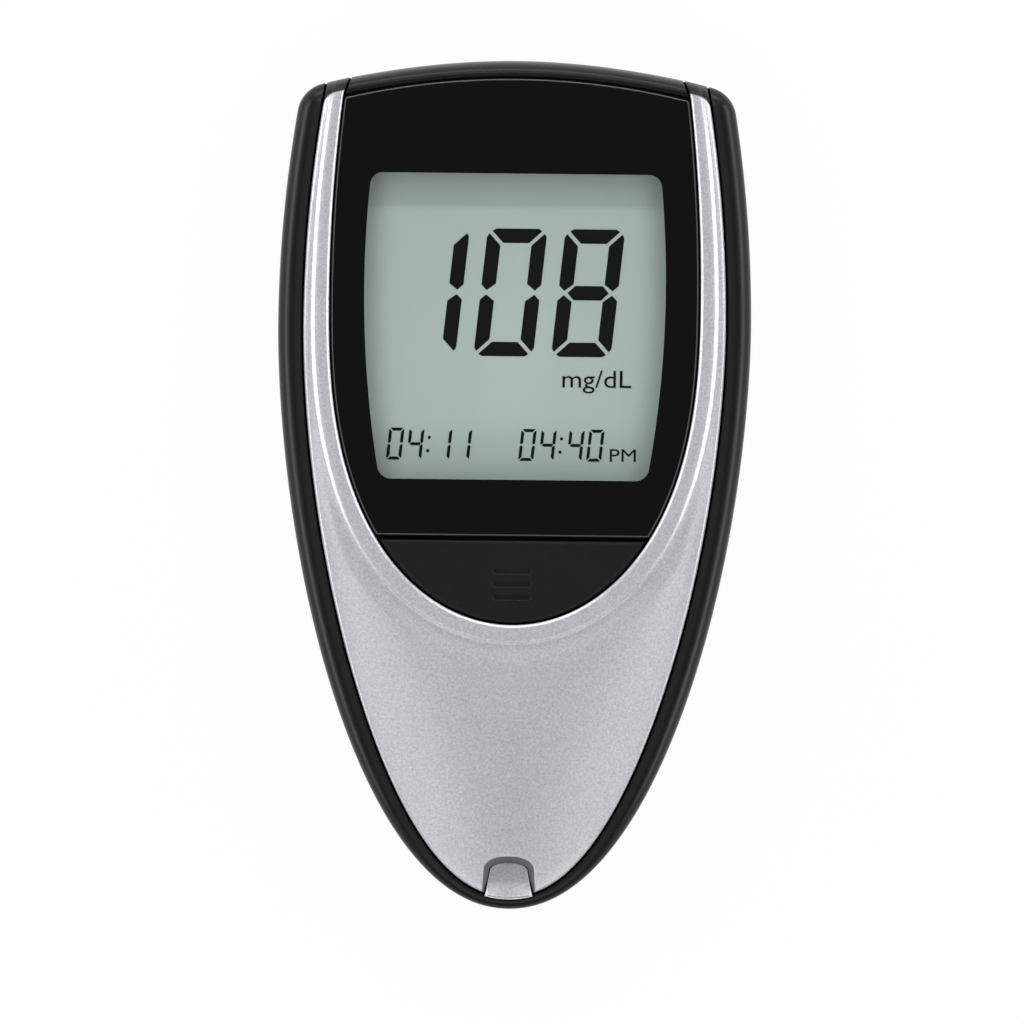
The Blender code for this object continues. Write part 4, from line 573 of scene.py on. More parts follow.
for name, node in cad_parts.items():
    for place in node.material_slots:
        place.material = FINISHES[place.material.name.split(".")[0]]
print("finished nodes:", len(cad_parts))

# %% Rings on the coin cell
RING_SCALE, RING_DISTORTION, RING_DETAIL, RING_DEPTH = 900.0, 1.5, 2.0, 0.002 * MM
CELL_RADIUS, CELL_Y = cell_high.x, (cell_low.y + cell_high.y) / 2


def turned_steel(finish, centre):
    """Fine rings about a centre, as the press leaves them on a cell: a wave in the distance from it."""
    tree = finish.node_tree
    shader = tree.nodes["Principled BSDF"]
    moved = add_node(tree, "VectorMath", {0: object_place(tree), 1: (*centre, 0)}, operation="SUBTRACT")
    rings = add_node(tree, "TexWave", {"Vector": moved.outputs[0], "Scale": RING_SCALE,
                                       "Distortion": RING_DISTORTION, "Detail": RING_DETAIL},
                     wave_type="RINGS", rings_direction="Z")
    bump = add_node(tree, "Bump", {"Height": rings.outputs["Fac"], "Strength": 1.0, "Distance": RING_DEPTH,
                                   "Normal": shader.inputs["Normal"].links[0].from_socket})
    feed(tree, shader, {"Normal": bump.outputs[0]})
    return finish


cell_steel = turned_steel(FINISHES["bright_steel"].copy(), ((cell_low.x + cell_high.x) / 2, CELL_Y))
cell_steel.name = "cell_steel"
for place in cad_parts["coin_cell"].material_slots:
    place.material = cell_steel
print("cell finish:", cell_steel.name)

# %% [markdown]
# The rear case is a deep tub. Its side rises from a flat back in a rounded curve, and its rim is the
# rail: a quarter round that a hand feels as the meter's edge. It is lofted through set-in copies of
# the silhouette, and then the front opening, the cavity and the battery bay are cut out of it.

# %% Rear case: skin
FOOT_INSET, TUB_POWER, TUB_ROWS, TUB_CROWDING, RAIL_ROWS = 5.5 * MM, 3.2, 18, 1.5, 15
SILL = bezel_low.z - SEAT_GAP
OVERRUN, SINK = 3 * MM, 0.4 * MM
BACK_WALL, CASE_WALL, LEDGE_WIDTH, LEDGE_HEIGHT = 1.8 * MM, 2.4 * MM, 3.9 * MM, 1.4 * MM


def case_rows():
    """Tub side as a blunt superellipse in inset and height, then the rail as a quarter ellipse."""
    rim = body_outline(0)
    width = rail_width(rim[:, 1])
    rise = RAIL_ROUND * width / RAIL_WIDTH
    shoulder = edge_height(rim[:, 1]) - SEAM_STEP - rise
    rows = []
    for angle in np.pi / 2 * np.linspace(0, 1, TUB_ROWS) ** TUB_CROWDING:
        share = 1 - math.cos(angle) ** (2 / TUB_POWER)
        inset = FOOT_INSET * (1 - math.sin(angle) ** (2 / TUB_POWER))
        rows.append(at_height(body_outline(inset), shoulder * share))
    inward = body_outline(RAIL_WIDTH) - rim
    inward /= np.linalg.norm(inward, axis=1)[:, None]
    for angle in turns(RAIL_ROWS)[1:]:
        reach = width * (1 - math.cos(angle))
        rows.append(at_height(rim + inward * reach[:, None], shoulder + rise * math.sin(angle)))
    return rows


case = loft("rear_case_shell", case_rows(), SHELL_BLACK)
seam = mirrored(seam_curve(SEAM_GAP, TOP_Y + OVERRUN, 60, 120))
opening = prism("front_opening", seam, SILL, HEIGHT + OVERRUN)
cavity = loft("case_cavity", [at_height(body_outline(inset), z) for inset, z in (
    (CASE_WALL + BACK_WALL, BACK_WALL), (CASE_WALL + BACK_WALL / 3, BACK_WALL * 4 / 3),
    (CASE_WALL, BACK_WALL * 2), (CASE_WALL, SILL - 2 * LEDGE_HEIGHT),
    (LEDGE_WIDTH, SILL - LEDGE_HEIGHT), (LEDGE_WIDTH, SILL + OVERRUN))])
notch = prism("ramp_notch", RAMP_NOTCH, ramp_low.z, HEIGHT + OVERRUN)
carve(case, "DIFFERENCE", opening, cavity, notch)
print("rear case skin:", len(case.data.polygons), "faces")

# %% [markdown]
# The battery bay is a walled pocket in the back with a roof. A coin cell sits in a ring under the
# roof, two slots let its contacts through, and the door's hook tabs reach under the bay's edge.
# Four posts carry the board and guide the screws.

# %% Rear case: battery bay and screw posts
BAY_LEDGE, BAY_WALL, BAY_ROOF = 1.3 * MM, 1.2 * MM, 0.9 * MM
TAB_SPACING, TAB_WIDTH, TAB_REACH = 15 * MM, 4.8 * MM, 1.6 * MM
LATCH_WIDTH, THUMB_RADIUS, THUMB_DEPTH, DOOR_CORNER = 5 * MM, 4 * MM, 1 * MM, 2.2 * MM
LEAF_WIDTH, DOOR_THICK, RING_HEIGHT, SET_HOLE = 3 * MM, cell_low.z - 2 * SEAT_GAP, 2 * MM, 1.5 * MM
DOOR_TOP_Y, DOOR_BOTTOM_Y, DOOR_HALF = door_high.y - TAB_REACH, door_low.y, door_high.x
BAY_HALF = DOOR_HALF - BAY_LEDGE
ROOF_BASE = cell_high.z + 3 * SEAT_GAP
ROOF_TOP = ROOF_BASE + BAY_ROOF
SCREWS = [tuple((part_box(f"case_screw_{i}")[0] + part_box(f"case_screw_{i}")[1]) / 2)[:2] for i in range(1, 5)]
SCREW_RADIUS, SCREW_HEAD, SCREW_RECESS, POST_RADIUS = 0.8 * MM, 1.5 * MM, 3.4 * MM, 2.8 * MM
UNDER_BOARD = board_low.z - SEAT_GAP


def add_bay(shell):
    """Walls joined first, then everything that is hollow cut out, and the cell's ring put back."""
    top, bottom = DOOR_TOP_Y - BAY_LEDGE, DOOR_BOTTOM_Y + BAY_LEDGE
    outer, slot_end = BAY_HALF + BAY_WALL, door_high.y + 2 * PLAY
    walls = block("bay_walls", (-outer, outer), (bottom - BAY_WALL, slot_end + BAY_WALL),
                  (BACK_WALL - SINK, ROOF_TOP))
    posts = [cylinder(f"post_{i}", POST_RADIUS, BACK_WALL - SINK, UNDER_BOARD, place)
             for i, place in enumerate(SCREWS)]
    carve(shell, "UNION", walls, *posts)
    lid = rounded_rectangle(2 * DOOR_HALF + 2 * PLAY, DOOR_TOP_Y - DOOR_BOTTOM_Y + 2 * PLAY, DOOR_CORNER,
                            (0, (DOOR_TOP_Y + DOOR_BOTTOM_Y) / 2))
    hollows = [prism("door_opening", lid, -OVERRUN, DOOR_THICK + SEAT_GAP),
               block("bay_hollow", (-BAY_HALF, BAY_HALF), (bottom, top), (0, ROOF_BASE)),
               block("latch_slot", (-LATCH_WIDTH / 2 - PLAY, LATCH_WIDTH / 2 + PLAY),
                     (DOOR_BOTTOM_Y - PLAY, bottom + SINK), (0, cell_high.z)),
               cylinder("thumb_recess", THUMB_RADIUS, -OVERRUN, THUMB_DEPTH, (0, DOOR_BOTTOM_Y - PLAY))]
    for side in (-1, 1):
        middle, half = side * TAB_SPACING / 2, TAB_WIDTH / 2 + PLAY
        hollows.append(block(f"tab_slot_{side}", (middle - half, middle + half), (top - SINK, slot_end),
                             (DOOR_THICK, ROOF_BASE)))
    for i, place in enumerate(SCREWS):
        bore = [(SCREW_HEAD + PLAY, -OVERRUN), (SCREW_HEAD + PLAY, SCREW_RECESS),
                (SCREW_RADIUS + PLAY, SCREW_RECESS), (SCREW_RADIUS + PLAY, UNDER_BOARD + OVERRUN)]
        hollows.append(turned(f"screw_hole_{i}", bore, place))
    carve(shell, "DIFFERENCE", *hollows)
    ring = cylinder("cell_ring", BAY_HALF + SINK, ROOF_BASE - RING_HEIGHT, ROOF_BASE + SINK, (0, CELL_Y))
    gap = block("contact_gap", (-LEAF_WIDTH / 2 - PLAY, LEAF_WIDTH / 2 + PLAY),
                (bottom, CELL_Y - CELL_RADIUS), (0, ROOF_BASE))
    carve(ring, "DIFFERENCE", cylinder("ring_hollow", CELL_RADIUS + PLAY, 0, ROOF_BASE, (0, CELL_Y)), gap)
    carve(shell, "UNION", ring)
    slots = [cylinder("set_hole", SET_HOLE + PLAY, 0, ROOF_TOP + SINK, tuple((set_low + set_high) / 2)[:2])]
    for name in ("positive", "negative"):
        low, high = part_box(f"battery_contact_{name}")
        slots.append(block(f"{name}_slot", (low.x - PLAY, high.x + PLAY),
                           (high.y - 2 * PLAY, high.y + PLAY), (ROOF_BASE - SINK, ROOF_TOP + SINK)))
    carve(shell, "DIFFERENCE", *slots)


add_bay(case)
smooth_piece(case, "black_shell", "rear_case")

# %% [markdown]
# Four self-tapping screws hold the halves together. Each has a pan head with a cross recess, which
# is what a person sees in the deep holes of the back, and a shank that narrows to its point.

# %% Case screws
SLOT_WIDTH, SLOT_LENGTH, SLOT_DEPTH, HEAD_ROUND = 0.36 * MM, 1.7 * MM, 0.7 * MM, 0.35 * MM
HEAD_HEIGHT, SHANK_RADIUS, POINT_LENGTH, POINT_RADIUS, HEAD_ROWS = 1.2 * MM, 0.74 * MM, 1 * MM, 0.25 * MM, 7


def case_screw(i):
    """A turned profile from the head's face up to the point, less the two arms of the cross."""
    low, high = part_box(f"case_screw_{i}")
    (x, y), base = SCREWS[i - 1], low.z
    profile = [(SCREW_HEAD - inset, base + rise)
               for rise, inset in round_steps(HEAD_ROUND, HEAD_ROUND, HEAD_ROWS)]
    profile += [(SCREW_HEAD, base + HEAD_HEIGHT), (SHANK_RADIUS, base + HEAD_HEIGHT),
                (SHANK_RADIUS, high.z - POINT_LENGTH), (POINT_RADIUS, high.z)]
    screw = turned(f"screw_{i}", profile, (x, y), FINISHES["bright_steel"])
    half, reach = SLOT_WIDTH / 2, SLOT_LENGTH / 2
    arms = [block(f"slot_{name}", (x - dx, x + dx), (y - dy, y + dy), (base - SINK, base + SLOT_DEPTH))
            for name, dx, dy in (("across", reach, half), ("along", half, reach))]
    return carve(screw, "DIFFERENCE", *arms)


for i in range(1, 5):
    smooth_piece(case_screw(i), "bright_steel", f"case_screw_{i}")

# %% [markdown]
# The bezel is the piece that makes this meter: two slim arms run down beside the display and join
# in a broad crowned tongue. Across it there is always the same story: a collar with a bevelled
# inner edge, a short shoulder down to a scoop, and then a crown that falls to the rail. So one
# section is worked out as a function of the distance from the collar, for all rows at once.

# %% Front bezel: section and rows
COLLAR_BAND, COLLAR_ROUND, SHOULDER, SHOULDER_DROP = 1.5 * MM, 0.12 * MM, 0.68 * MM, 0.44 * MM
COLLAR_BEVEL, BEVEL_SLOPE, BAND_SLOPE, EDGE_ROUND = 0.18 * MM, 0.8, 0.04, 0.3 * MM
BAND_GROWTH, SHOULDER_GROWTH, DROP_LOSS = 0.28 * MM, -0.16 * MM, 0.18 * MM
SOFT_SHARE, TONGUE_SOFT, GROWTH_START, CROWN_POWER, POWER_GROWTH = 0.16, 0.3, 1.1, 1.2, 0.8
SCOOP_WIDTH, SCOOP_RISE, BEZEL_WALL, SKIRT_WALL, END_WALL = 2.2 * MM, 0.2 * MM, 1.5 * MM, 1 * MM, 1.2 * MM
BAND_POINTS, CREST_LIMIT, ROW_GAP = np.array([0.1, 0.5]), 0.8, 0.2 * MM
ARM_ROWS, TONGUE_ROWS, END_ROWS, WALL_ROWS, SETTLING = 50, 130, 14, 8, 20
BEND_POINTS, BEVEL_POINTS, SHOULDER_POINTS, SCOOP_POINTS, CROWN_POINTS = 7, 4, 11, 13, 21
SKIRT_BASE, TAPE_THICK = bezel_low.z, 0.3 * MM
PLATE_TOP = lens_low.z - TAPE_THICK - 2 * SEAT_GAP
ARM_UNDER = PLATE_TOP + PLAY


def smooth(share):
    """Leaves nought and reaches one without a kink: three squares less two cubes."""
    return share * share * (3 - 2 * share)


def even_slope(share, soft=SOFT_SHARE):
    """From nought to one at an even slope, with soft ends: the integral of a trapezoid."""
    start, end = np.clip(share / soft, 0, 1), np.clip((1 - share) / soft, 0, 1)
    middle = np.clip(share, soft, 1 - soft) - soft
    return (soft * start**2 / 2 + middle + soft * (1 - end**2) / 2) / (1 - soft)


def fall_of_round(share):
    """How far a quarter circle has fallen, from nought at its top to one at its side."""
    return 1 - np.sqrt(1 - np.clip(share, 0, 1) ** 2)


def section_plan(length):
    """Where a section's parts end, for rows of some length. The shoulder narrows towards the tongue."""
    scale = np.minimum(1, length / ARM_WIDTH)
    growth = smooth(np.clip(length / ARM_WIDTH - GROWTH_START, 0, 1))
    soft, bevel = COLLAR_ROUND * scale, COLLAR_BEVEL * scale
    band = (COLLAR_BAND + BAND_GROWTH * growth) * scale
    valley = band + (SHOULDER + SHOULDER_GROWTH * growth) * scale
    rest = length - valley
    scoop, edge_soft = np.minimum(SCOOP_WIDTH, rest / 2), np.minimum(EDGE_ROUND, rest / 4)
    return soft, bevel, band, valley, rest, scoop, edge_soft, growth


def section_height(length, distance, outer_y):
    """Height of the bezel at a distance from the collar, in a row of some length, all as arrays."""
    soft, bevel, band, valley, rest, scoop, edge_soft, growth = section_plan(length)
    drop = SHOULDER_DROP - DROP_LOSS * growth
    rise = SCOOP_RISE * growth
    fall = HEIGHT - drop + rise - edge_height(outer_y)
    inner = COLLAR_ROUND * fall_of_round(1 - distance / soft)
    inner = inner + BEVEL_SLOPE * np.maximum(soft + bevel - distance, 0)
    inner = inner + BAND_SLOPE * np.maximum(band - distance, 0)
    down = np.clip((distance - band) / (valley - band), 0, 1)
    shoulder = drop * (even_slope(down) * (1 - growth) + even_slope(down, TONGUE_SOFT) * growth)
    along, power = np.clip((distance - valley) / scoop, 0, 1), CROWN_POWER + POWER_GROWTH * growth
    scooped = rise * smooth(along) - along * fall * (scoop / rest) ** power
    crowned = rise - fall * np.clip((distance - valley) / rest, 0, 1) ** power
    lifted = np.where(distance < valley, 0, np.where(distance < valley + scoop, scooped, crowned))
    outer = SEAM_STEP * fall_of_round((distance - length + edge_soft) / edge_soft)
    return HEIGHT - inner - shoulder + lifted - outer


def end_fall(x, y, length=END_ROUND):
    """A quarter ellipse down over the top end, from the top edge inwards by some length."""
    return END_DROP * fall_of_round(1 - (top_edge(x) - y) / length)


def nearest(points, curve):
    """For each point, the point of a curve that lies nearest."""
    apart = np.linalg.norm(points[:, None, :] - curve[None, :, :], axis=2)
    return curve[np.argmin(apart, axis=1)]


def end_height(side):
    """The y at which a seam meets the top edge, found by stepping back and forth."""
    y = TOP_Y
    for _ in range(SETTLING):
        y = top_edge(side(y))
    return y


INNER = collar_curve(0, TOP_Y, FINE, FINE)
OUTER = seam_curve(0, TOP_Y, FINE, FINE)


def bezel_rows():
    """Pairs of inner and outer edge points: down the arm's end, along the arm, and round the tongue."""
    inner_end, outer_end = end_height(collar_side), end_height(seam_side)
    zone = inner_end - 3 * END_ROUND
    inner_y = np.linspace(zone, COLLAR_WIDEST_Y, ARM_ROWS)[:-1]
    start = points_at(collar_side(inner_y), inner_y)
    slope = (collar_side(inner_y + END_WALL) - collar_side(inner_y - END_WALL)) / (2 * END_WALL)
    normal = points_at(np.ones_like(slope), -slope) / np.sqrt(1 + slope**2)[:, None]
    target = start + normal * ARM_WIDTH
    arm_outer = points_at(seam_side(target[:, 1]), target[:, 1])
    tongue_outer = respaced(OUTER[OUTER[:, 1] < arm_outer[-1, 1] - ROW_GAP], TONGUE_ROWS)
    tongue_inner = nearest(tongue_outer, INNER)
    tongue_inner[-1], tongue_outer[-1] = (0, COLLAR_BOTTOM_Y), (0, OUTER[-1, 1])
    reach = inner_end - zone
    rounding = 1 - (1 - np.cos(turns(END_ROWS))) * END_ROUND / reach
    wall = np.array([1 - END_WALL / reach, 1 - (END_WALL + SEAM_GAP) / reach])
    plain = np.linspace(0, 1 - END_ROUND / reach, WALL_ROWS)[1:-1]
    share = np.sort(np.concatenate([rounding, wall, plain]))[::-1]
    y_in = zone + reach * share
    y_out = arm_outer[0, 1] + (outer_end - arm_outer[0, 1]) * share
    return (np.concatenate([points_at(collar_side(y_in), y_in), start, tongue_inner]),
            np.concatenate([points_at(seam_side(y_out), y_out), arm_outer, tongue_outer]))


def bezel_loops(inner, outer):
    """A closed loop for each row: over the top by the section, down the skirt, and back underneath."""
    length = np.linalg.norm(outer - inner, axis=1)[:, None]
    direction = (outer - inner)[:, None, :] / length[:, :, None]
    soft, bevel, band, valley, _, scoop, edge_soft, _ = section_plan(length)
    bend = 1 - np.cos(turns(BEND_POINTS))
    flat, crown_start = soft + bevel, valley + scoop
    crown = length - edge_soft - crown_start
    tops = np.concatenate([
        soft * bend, soft + bevel * np.linspace(0, 1, BEVEL_POINTS)[1:], flat + (band - flat) * BAND_POINTS,
        band + (valley - band) * np.linspace(0, 1, SHOULDER_POINTS)[:-1],
        valley + scoop * np.linspace(0, 1, SCOOP_POINTS)[:-1],
        crown_start + crown * np.linspace(0, 1, CROWN_POINTS)[:-1],
        length - edge_soft * bend[::-1]], axis=1)
    wall = length - SKIRT_WALL
    inside = wall - SEAT_GAP / 2
    crest = np.minimum(crown_start, inside * CREST_LIMIT)
    backs = np.concatenate([length, wall, inside, (inside + crest) / 2, crest,
                            np.minimum(valley, inside / 2), 0 * length], axis=1)
    outer_y = outer[:, 1:2]
    top_xy = inner[:, None, :] + direction * tops[:, :, None]
    top_z = section_height(length, tops, outer_y) - end_fall(top_xy[:, :, 0], top_xy[:, :, 1])
    back_xy = inner[:, None, :] + direction * backs[:, :, None]
    under = np.minimum(ARM_UNDER, section_height(length, backs, outer_y) - BEZEL_WALL)
    under[:, :2] = SKIRT_BASE
    closing = top_edge(inner[:, 0]) - inner[:, 1] < END_WALL + SEAM_GAP / 2
    under[closing] = SKIRT_BASE
    xy = np.concatenate([top_xy, back_xy], axis=1)
    return np.dstack([xy, np.concatenate([top_z, under], axis=1)])


edge_inner, edge_outer = bezel_rows()
right_rows = bezel_loops(edge_inner, edge_outer)
left_rows = right_rows[::-1][1:] * (-1, 1, 1)
bezel = loft("silver_bezel", np.concatenate([right_rows, left_rows]), BEZEL_PAINT, PORT_WALL_SHADE)
print("bezel rows:", len(right_rows) + len(left_rows), "points in each:", right_rows.shape[1])

# %% [markdown]
# The strip port is a notch at the tip whose walls lean out and whose arch is blunter than an
# ellipse. Its cutter follows the crowned surface, so that the soft lip is equally wide all round, and
# gives the steep wall below the lip a dark grey finish: painted shade for the shadow inside the port.

# %% Front bezel: strip port
ARCH_STEPS, SIDE_POINTS, LIP_ROWS, FLARE = 48, 6, 6, 3


def bezel_height(points):
    """Height of the bezel under points of the tongue: along the normal of the collar to the seam."""
    points = np.abs(points * (1, 0)) + points * (0, 1)
    start = nearest(points, INNER)
    distance = np.linalg.norm(points - start, axis=1)
    direction = (points - start) / distance[:, None]
    to_edge = OUTER[None, :, :] - start[:, None, :]
    along = np.einsum("ijk,ik->ij", to_edge, direction)
    across = np.abs(to_edge[:, :, 0] * direction[:, 1:2] - to_edge[:, :, 1] * direction[:, 0:1])
    best = np.argmin(np.where(along > 0, across, 1), axis=1)
    length = along[np.arange(len(points)), best]
    return section_height(length, np.minimum(distance, length - 2 * EDGE_ROUND), OUTER[best, 1])


def port_outline(tip_half, inner_half, top_y, rise):
    """Two straight sides that close in a blunt arch: cosine and sine raised to two over its power."""
    turn = np.linspace(0, np.pi, ARCH_STEPS + 1)
    x = np.sign(np.cos(turn)) * inner_half * np.abs(np.cos(turn)) ** (2 / ARCH_POWER)
    y = top_y - rise + rise * np.sin(turn).clip(0) ** (2 / ARCH_POWER)
    low, sides = TIP_Y - OVERRUN, np.linspace(0, 1, SIDE_POINTS)[:, None]
    right = np.array([tip_half, RAMP_TIP_Y]) * (1 - sides) + np.array([inner_half, top_y - rise]) * sides
    return np.concatenate([[(tip_half, low)], right, points_at(x, y)[1:-1], right[::-1] * (-1, 1),
                           [(-tip_half, low)]])


def port_cutter():
    """Floor outline, throat under the lip, then the lip as a quarter round up to the surface and beyond."""
    base = port_outline(RAMP_WIDTH / 2 + RAMP_GAP, RAMP_INNER_WIDTH / 2 + RAMP_GAP, RAMP_INNER_Y + RAMP_GAP,
                        RAMP_HEAD)
    throat = port_outline(PORT_WIDTH / 2, ARCH_WIDTH / 2, ARCH_Y, ARCH_RISE)
    rows = [at_height(base, 0), at_height(base, bezel_height(throat) - BEZEL_WALL)]
    for grown, drop in round_steps(PORT_ROUND, PORT_ROUND, LIP_ROWS):
        lip = port_outline(PORT_WIDTH / 2 + grown, ARCH_WIDTH / 2 + grown, ARCH_Y + grown,
                           ARCH_RISE + grown)
        rows.append(at_height(lip, bezel_height(lip) - drop))
    rows.append(rows[-1] + (rows[-1] - rows[-3]) * (FLARE, FLARE, 0) + (0, 0, OVERRUN))
    cutter = loft("port_cutter", rows, BEZEL_PAINT, PORT_WALL_SHADE)
    # The wall faces below the lip take the dark grey painted shade finish.
    for face in cutter.data.polygons[:2 * len(base)]:
        face.material_index = 1
    return cutter


carve(bezel, "DIFFERENCE", port_cutter())
smooth_piece(bezel, "silver_paint", "front_bezel")

# %% [markdown]
# In the port lies the ramp that leads the strip in: a silver slope with a thin raised rim at both
# sides and a lip at the tip. Its case notch is cut to the same plan.

# %% Strip ramp
RAMP_TOP, RAMP_FALL, RAMP_RIM, RAMP_DISH = ramp_high.z, 0.9 * MM, 0.13 * MM, 0.12 * MM
RAMP_ROUND, BEAD, RIM_START, RIM_WIDTH = 0.12 * MM, 0.12 * MM, 0.86, 0.09
EDGE_WIDTH, EDGE_FALL, RIM_HIGHLIGHT_START = 0.035, 1.6, 0.91
ACROSS_POINTS, ROUND_ROWS, BEAD_ROWS, SLOPE_ROWS, LIP_HIGHLIGHT_ROWS = 81, 7, 7, 24, 8
TRAY_OVERLAP, TRAY_PLATE = 1.2 * MM, 0.8 * MM


def rim_profile(across):
    """Height across the ramp: a shallow dish, a rim near each side, and a round down at the very edge."""
    edge = np.abs(across)
    up = even_slope(np.clip((edge - RIM_START) / RIM_WIDTH, 0, 1))
    down = EDGE_FALL * np.clip((edge - 1 + EDGE_WIDTH) / EDGE_WIDTH, 0, 1) ** 2
    return RAMP_RIM * (up - down - 1) - RAMP_DISH * (1 - edge**2)


def lidded(name, grid, base, *finishes):
    """A solid under a grid of points: walls go down from the grid's border to a flat base."""
    count, width = grid.shape[:2]
    index = np.arange(count * width).reshape(count, width)
    lid = np.stack([index[:-1, :-1], index[:-1, 1:], index[1:, 1:], index[1:, :-1]], axis=-1).reshape(-1, 4)
    border = np.concatenate([index[0], index[1:, -1], index[-1, -2::-1], index[-2:0:-1, 0]])
    points = grid.reshape(-1, 3)
    below = len(points) + np.arange(len(border))
    points = np.concatenate([points, points[border] * (1, 1, 0) + (0, 0, base)])
    return skin(name, points, lid.tolist() + walls_between(border, below) + [below.tolist()], *finishes)


def strip_ramp():
    """The lip's quarter round and bead, then rows that fall and narrow inwards, and the tray behind."""
    across = np.sin(np.linspace(-1, 1, ACROSS_POINTS) * np.pi / 2)
    profile = rim_profile(across)
    rows = [at_height(ramp_plan(0, across) + (0, inset), RAMP_TOP + profile.max() - drop)
            for inset, drop in round_steps(RAMP_ROUND, RAMP_ROUND, ROUND_ROWS)[:-1]]
    bead = np.linspace(RAMP_ROUND, RAMP_ROUND + BEAD, BEAD_ROWS)[:-1]
    for reach in np.concatenate([bead, np.linspace(RAMP_ROUND + BEAD, RAMP_LENGTH, SLOPE_ROWS)]):
        sink = smooth(min(1, (reach - RAMP_ROUND) / BEAD))
        top = RAMP_TOP - RAMP_FALL * math.sin(reach / RAMP_LENGTH * math.pi / 2)
        rows.append(at_height(ramp_plan(reach / RAMP_LENGTH, across),
                              top + profile * sink + profile.max() * (1 - sink)))
    ramp = lidded("silver_ramp", np.array(rows), ramp_low.z, RAMP_PAINT_LIGHTENED, RIM_PAINTED_HIGHLIGHT)
    # The lip's front rows and the outer strips of the rims take the near-white painted highlight.
    width = ACROSS_POINTS - 1
    for face in ramp.data.polygons[:(len(rows) - 1) * width]:
        edge = abs(across[face.index % width] + across[face.index % width + 1]) / 2
        face.material_index = int(face.index < LIP_HIGHLIGHT_ROWS * width or edge > RIM_HIGHLIGHT_START)
    half, tray_base = RAMP_INNER_WIDTH / 2 - PLAY, board_high.z + SEAT_GAP
    tray = block("tray", (-half, half), (RAMP_INNER_Y - TRAY_OVERLAP, ramp_high.y),
                 (tray_base, board_high.z + TRAY_PLATE))
    return carve(ramp, "UNION", tray)


smooth_piece(strip_ramp(), "silver_paint", "strip_guide")

# %% [markdown]
# The display frame is a black plate under the lens. At the top end it rises as a bridge between the
# arms and turns down over the end with them, and below the display it drops into the key's tray.

# %% Display frame
LENS_RADIUS = 84 * MM
LENS_TOP_Y, LENS_BOTTOM_Y = lens_high.y, lens_low.y
BRIDGE_TOP, BRIDGE_TURN, BRIDGE_ROWS = HEIGHT - 0.6 * MM, 0.95, 121
FLANGE, TRAY_WALL, TRAY_THICK, TRAY_DROP = 0.7 * MM, 1.1 * MM, 0.8 * MM, 0.4 * MM
BOSS_RADIUS, STEM_HOLE, PILOT_DEPTH, STEP_DOWN = 2 * MM, 2.2 * MM, 3.2 * MM, 7.1 * MM
PLATE_BASE = film_high.z + SEAT_GAP
KEY_Y = (key_low.y + key_high.y) / 2
WINDOW_HALF = COLLAR_HALF - 4 * MM
WINDOW_TOP_Y, WINDOW_LOW_Y = LENS_TOP_Y - 10.8 * MM, LENS_BOTTOM_Y + 6.4 * MM
WINDOW_CORNER, WINDOW_RADIUS, WINDOW_POINTS = 1.3 * MM, 125 * MM, 38
WINDOW_WIDEST_Y = WINDOW_TOP_Y - (WINDOW_TOP_Y - WINDOW_LOW_Y) * 0.374


def lens_edge(x):
    """The lens's top edge is an arc a little tighter than the body's."""
    return LENS_TOP_Y - sagitta(LENS_RADIUS, x)


def collar_x(outwards, y):
    """The x of the collar's lower curve, moved outwards, at some y."""
    curve = collar_curve(outwards, COLLAR_WIDEST_Y + OVERRUN, low_steps=FINE)
    return float(np.interp(-y, -curve[:, 1], curve[:, 0]))


def window_outline(room):
    """A rounded rectangle whose sides bow outwards by a wide arc about the widest point."""
    half, low, high = WINDOW_HALF + room, WINDOW_LOW_Y - room, WINDOW_TOP_Y + room
    plain = rounded_rectangle(2 * half, high - low, WINDOW_CORNER, (0, (low + high) / 2))
    y = np.linspace(high - WINDOW_CORNER, low + WINDOW_CORNER, WINDOW_POINTS + 2)[1:-1]
    right = np.concatenate([plain[:CORNER_POINTS][::-1], points_at(np.full(WINDOW_POINTS, half), y),
                            plain[-CORNER_POINTS:][::-1]])
    right[:, 0] -= sagitta(WINDOW_RADIUS, right[:, 1] - WINDOW_WIDEST_Y)
    return mirrored(right)


def bridge():
    """Upright sections across the top end, each flat at first and then a quarter ellipse down."""
    soft, reach = SEAM_GAP / 2, END_ROUND * BRIDGE_TURN
    corner, bend = turns(6), 1 - np.cos(turns(22))
    rows = []
    for share in np.linspace(-1, 1, BRIDGE_ROWS):
        guess = share * (collar_side(LENS_TOP_Y) - SEAM_GAP)
        low, high = lens_edge(guess) + SEAM_GAP, top_edge(guess)
        soft_y, soft_z = low + soft - soft * np.cos(corner), BRIDGE_TOP - soft + soft * np.sin(corner)
        turn_y = high - reach * bend[::-1]
        y = np.concatenate([[low], soft_y, turn_y, [high, high - END_WALL, high - END_WALL]])
        z = np.concatenate([[PLATE_BASE], soft_z, BRIDGE_TOP - end_fall(guess, turn_y, reach),
                            [SKIRT_BASE, SKIRT_BASE, PLATE_BASE]])
        rows.append(np.stack([share * (collar_side(y) - SEAM_GAP), y, z], axis=1))
    return loft("bridge", rows)


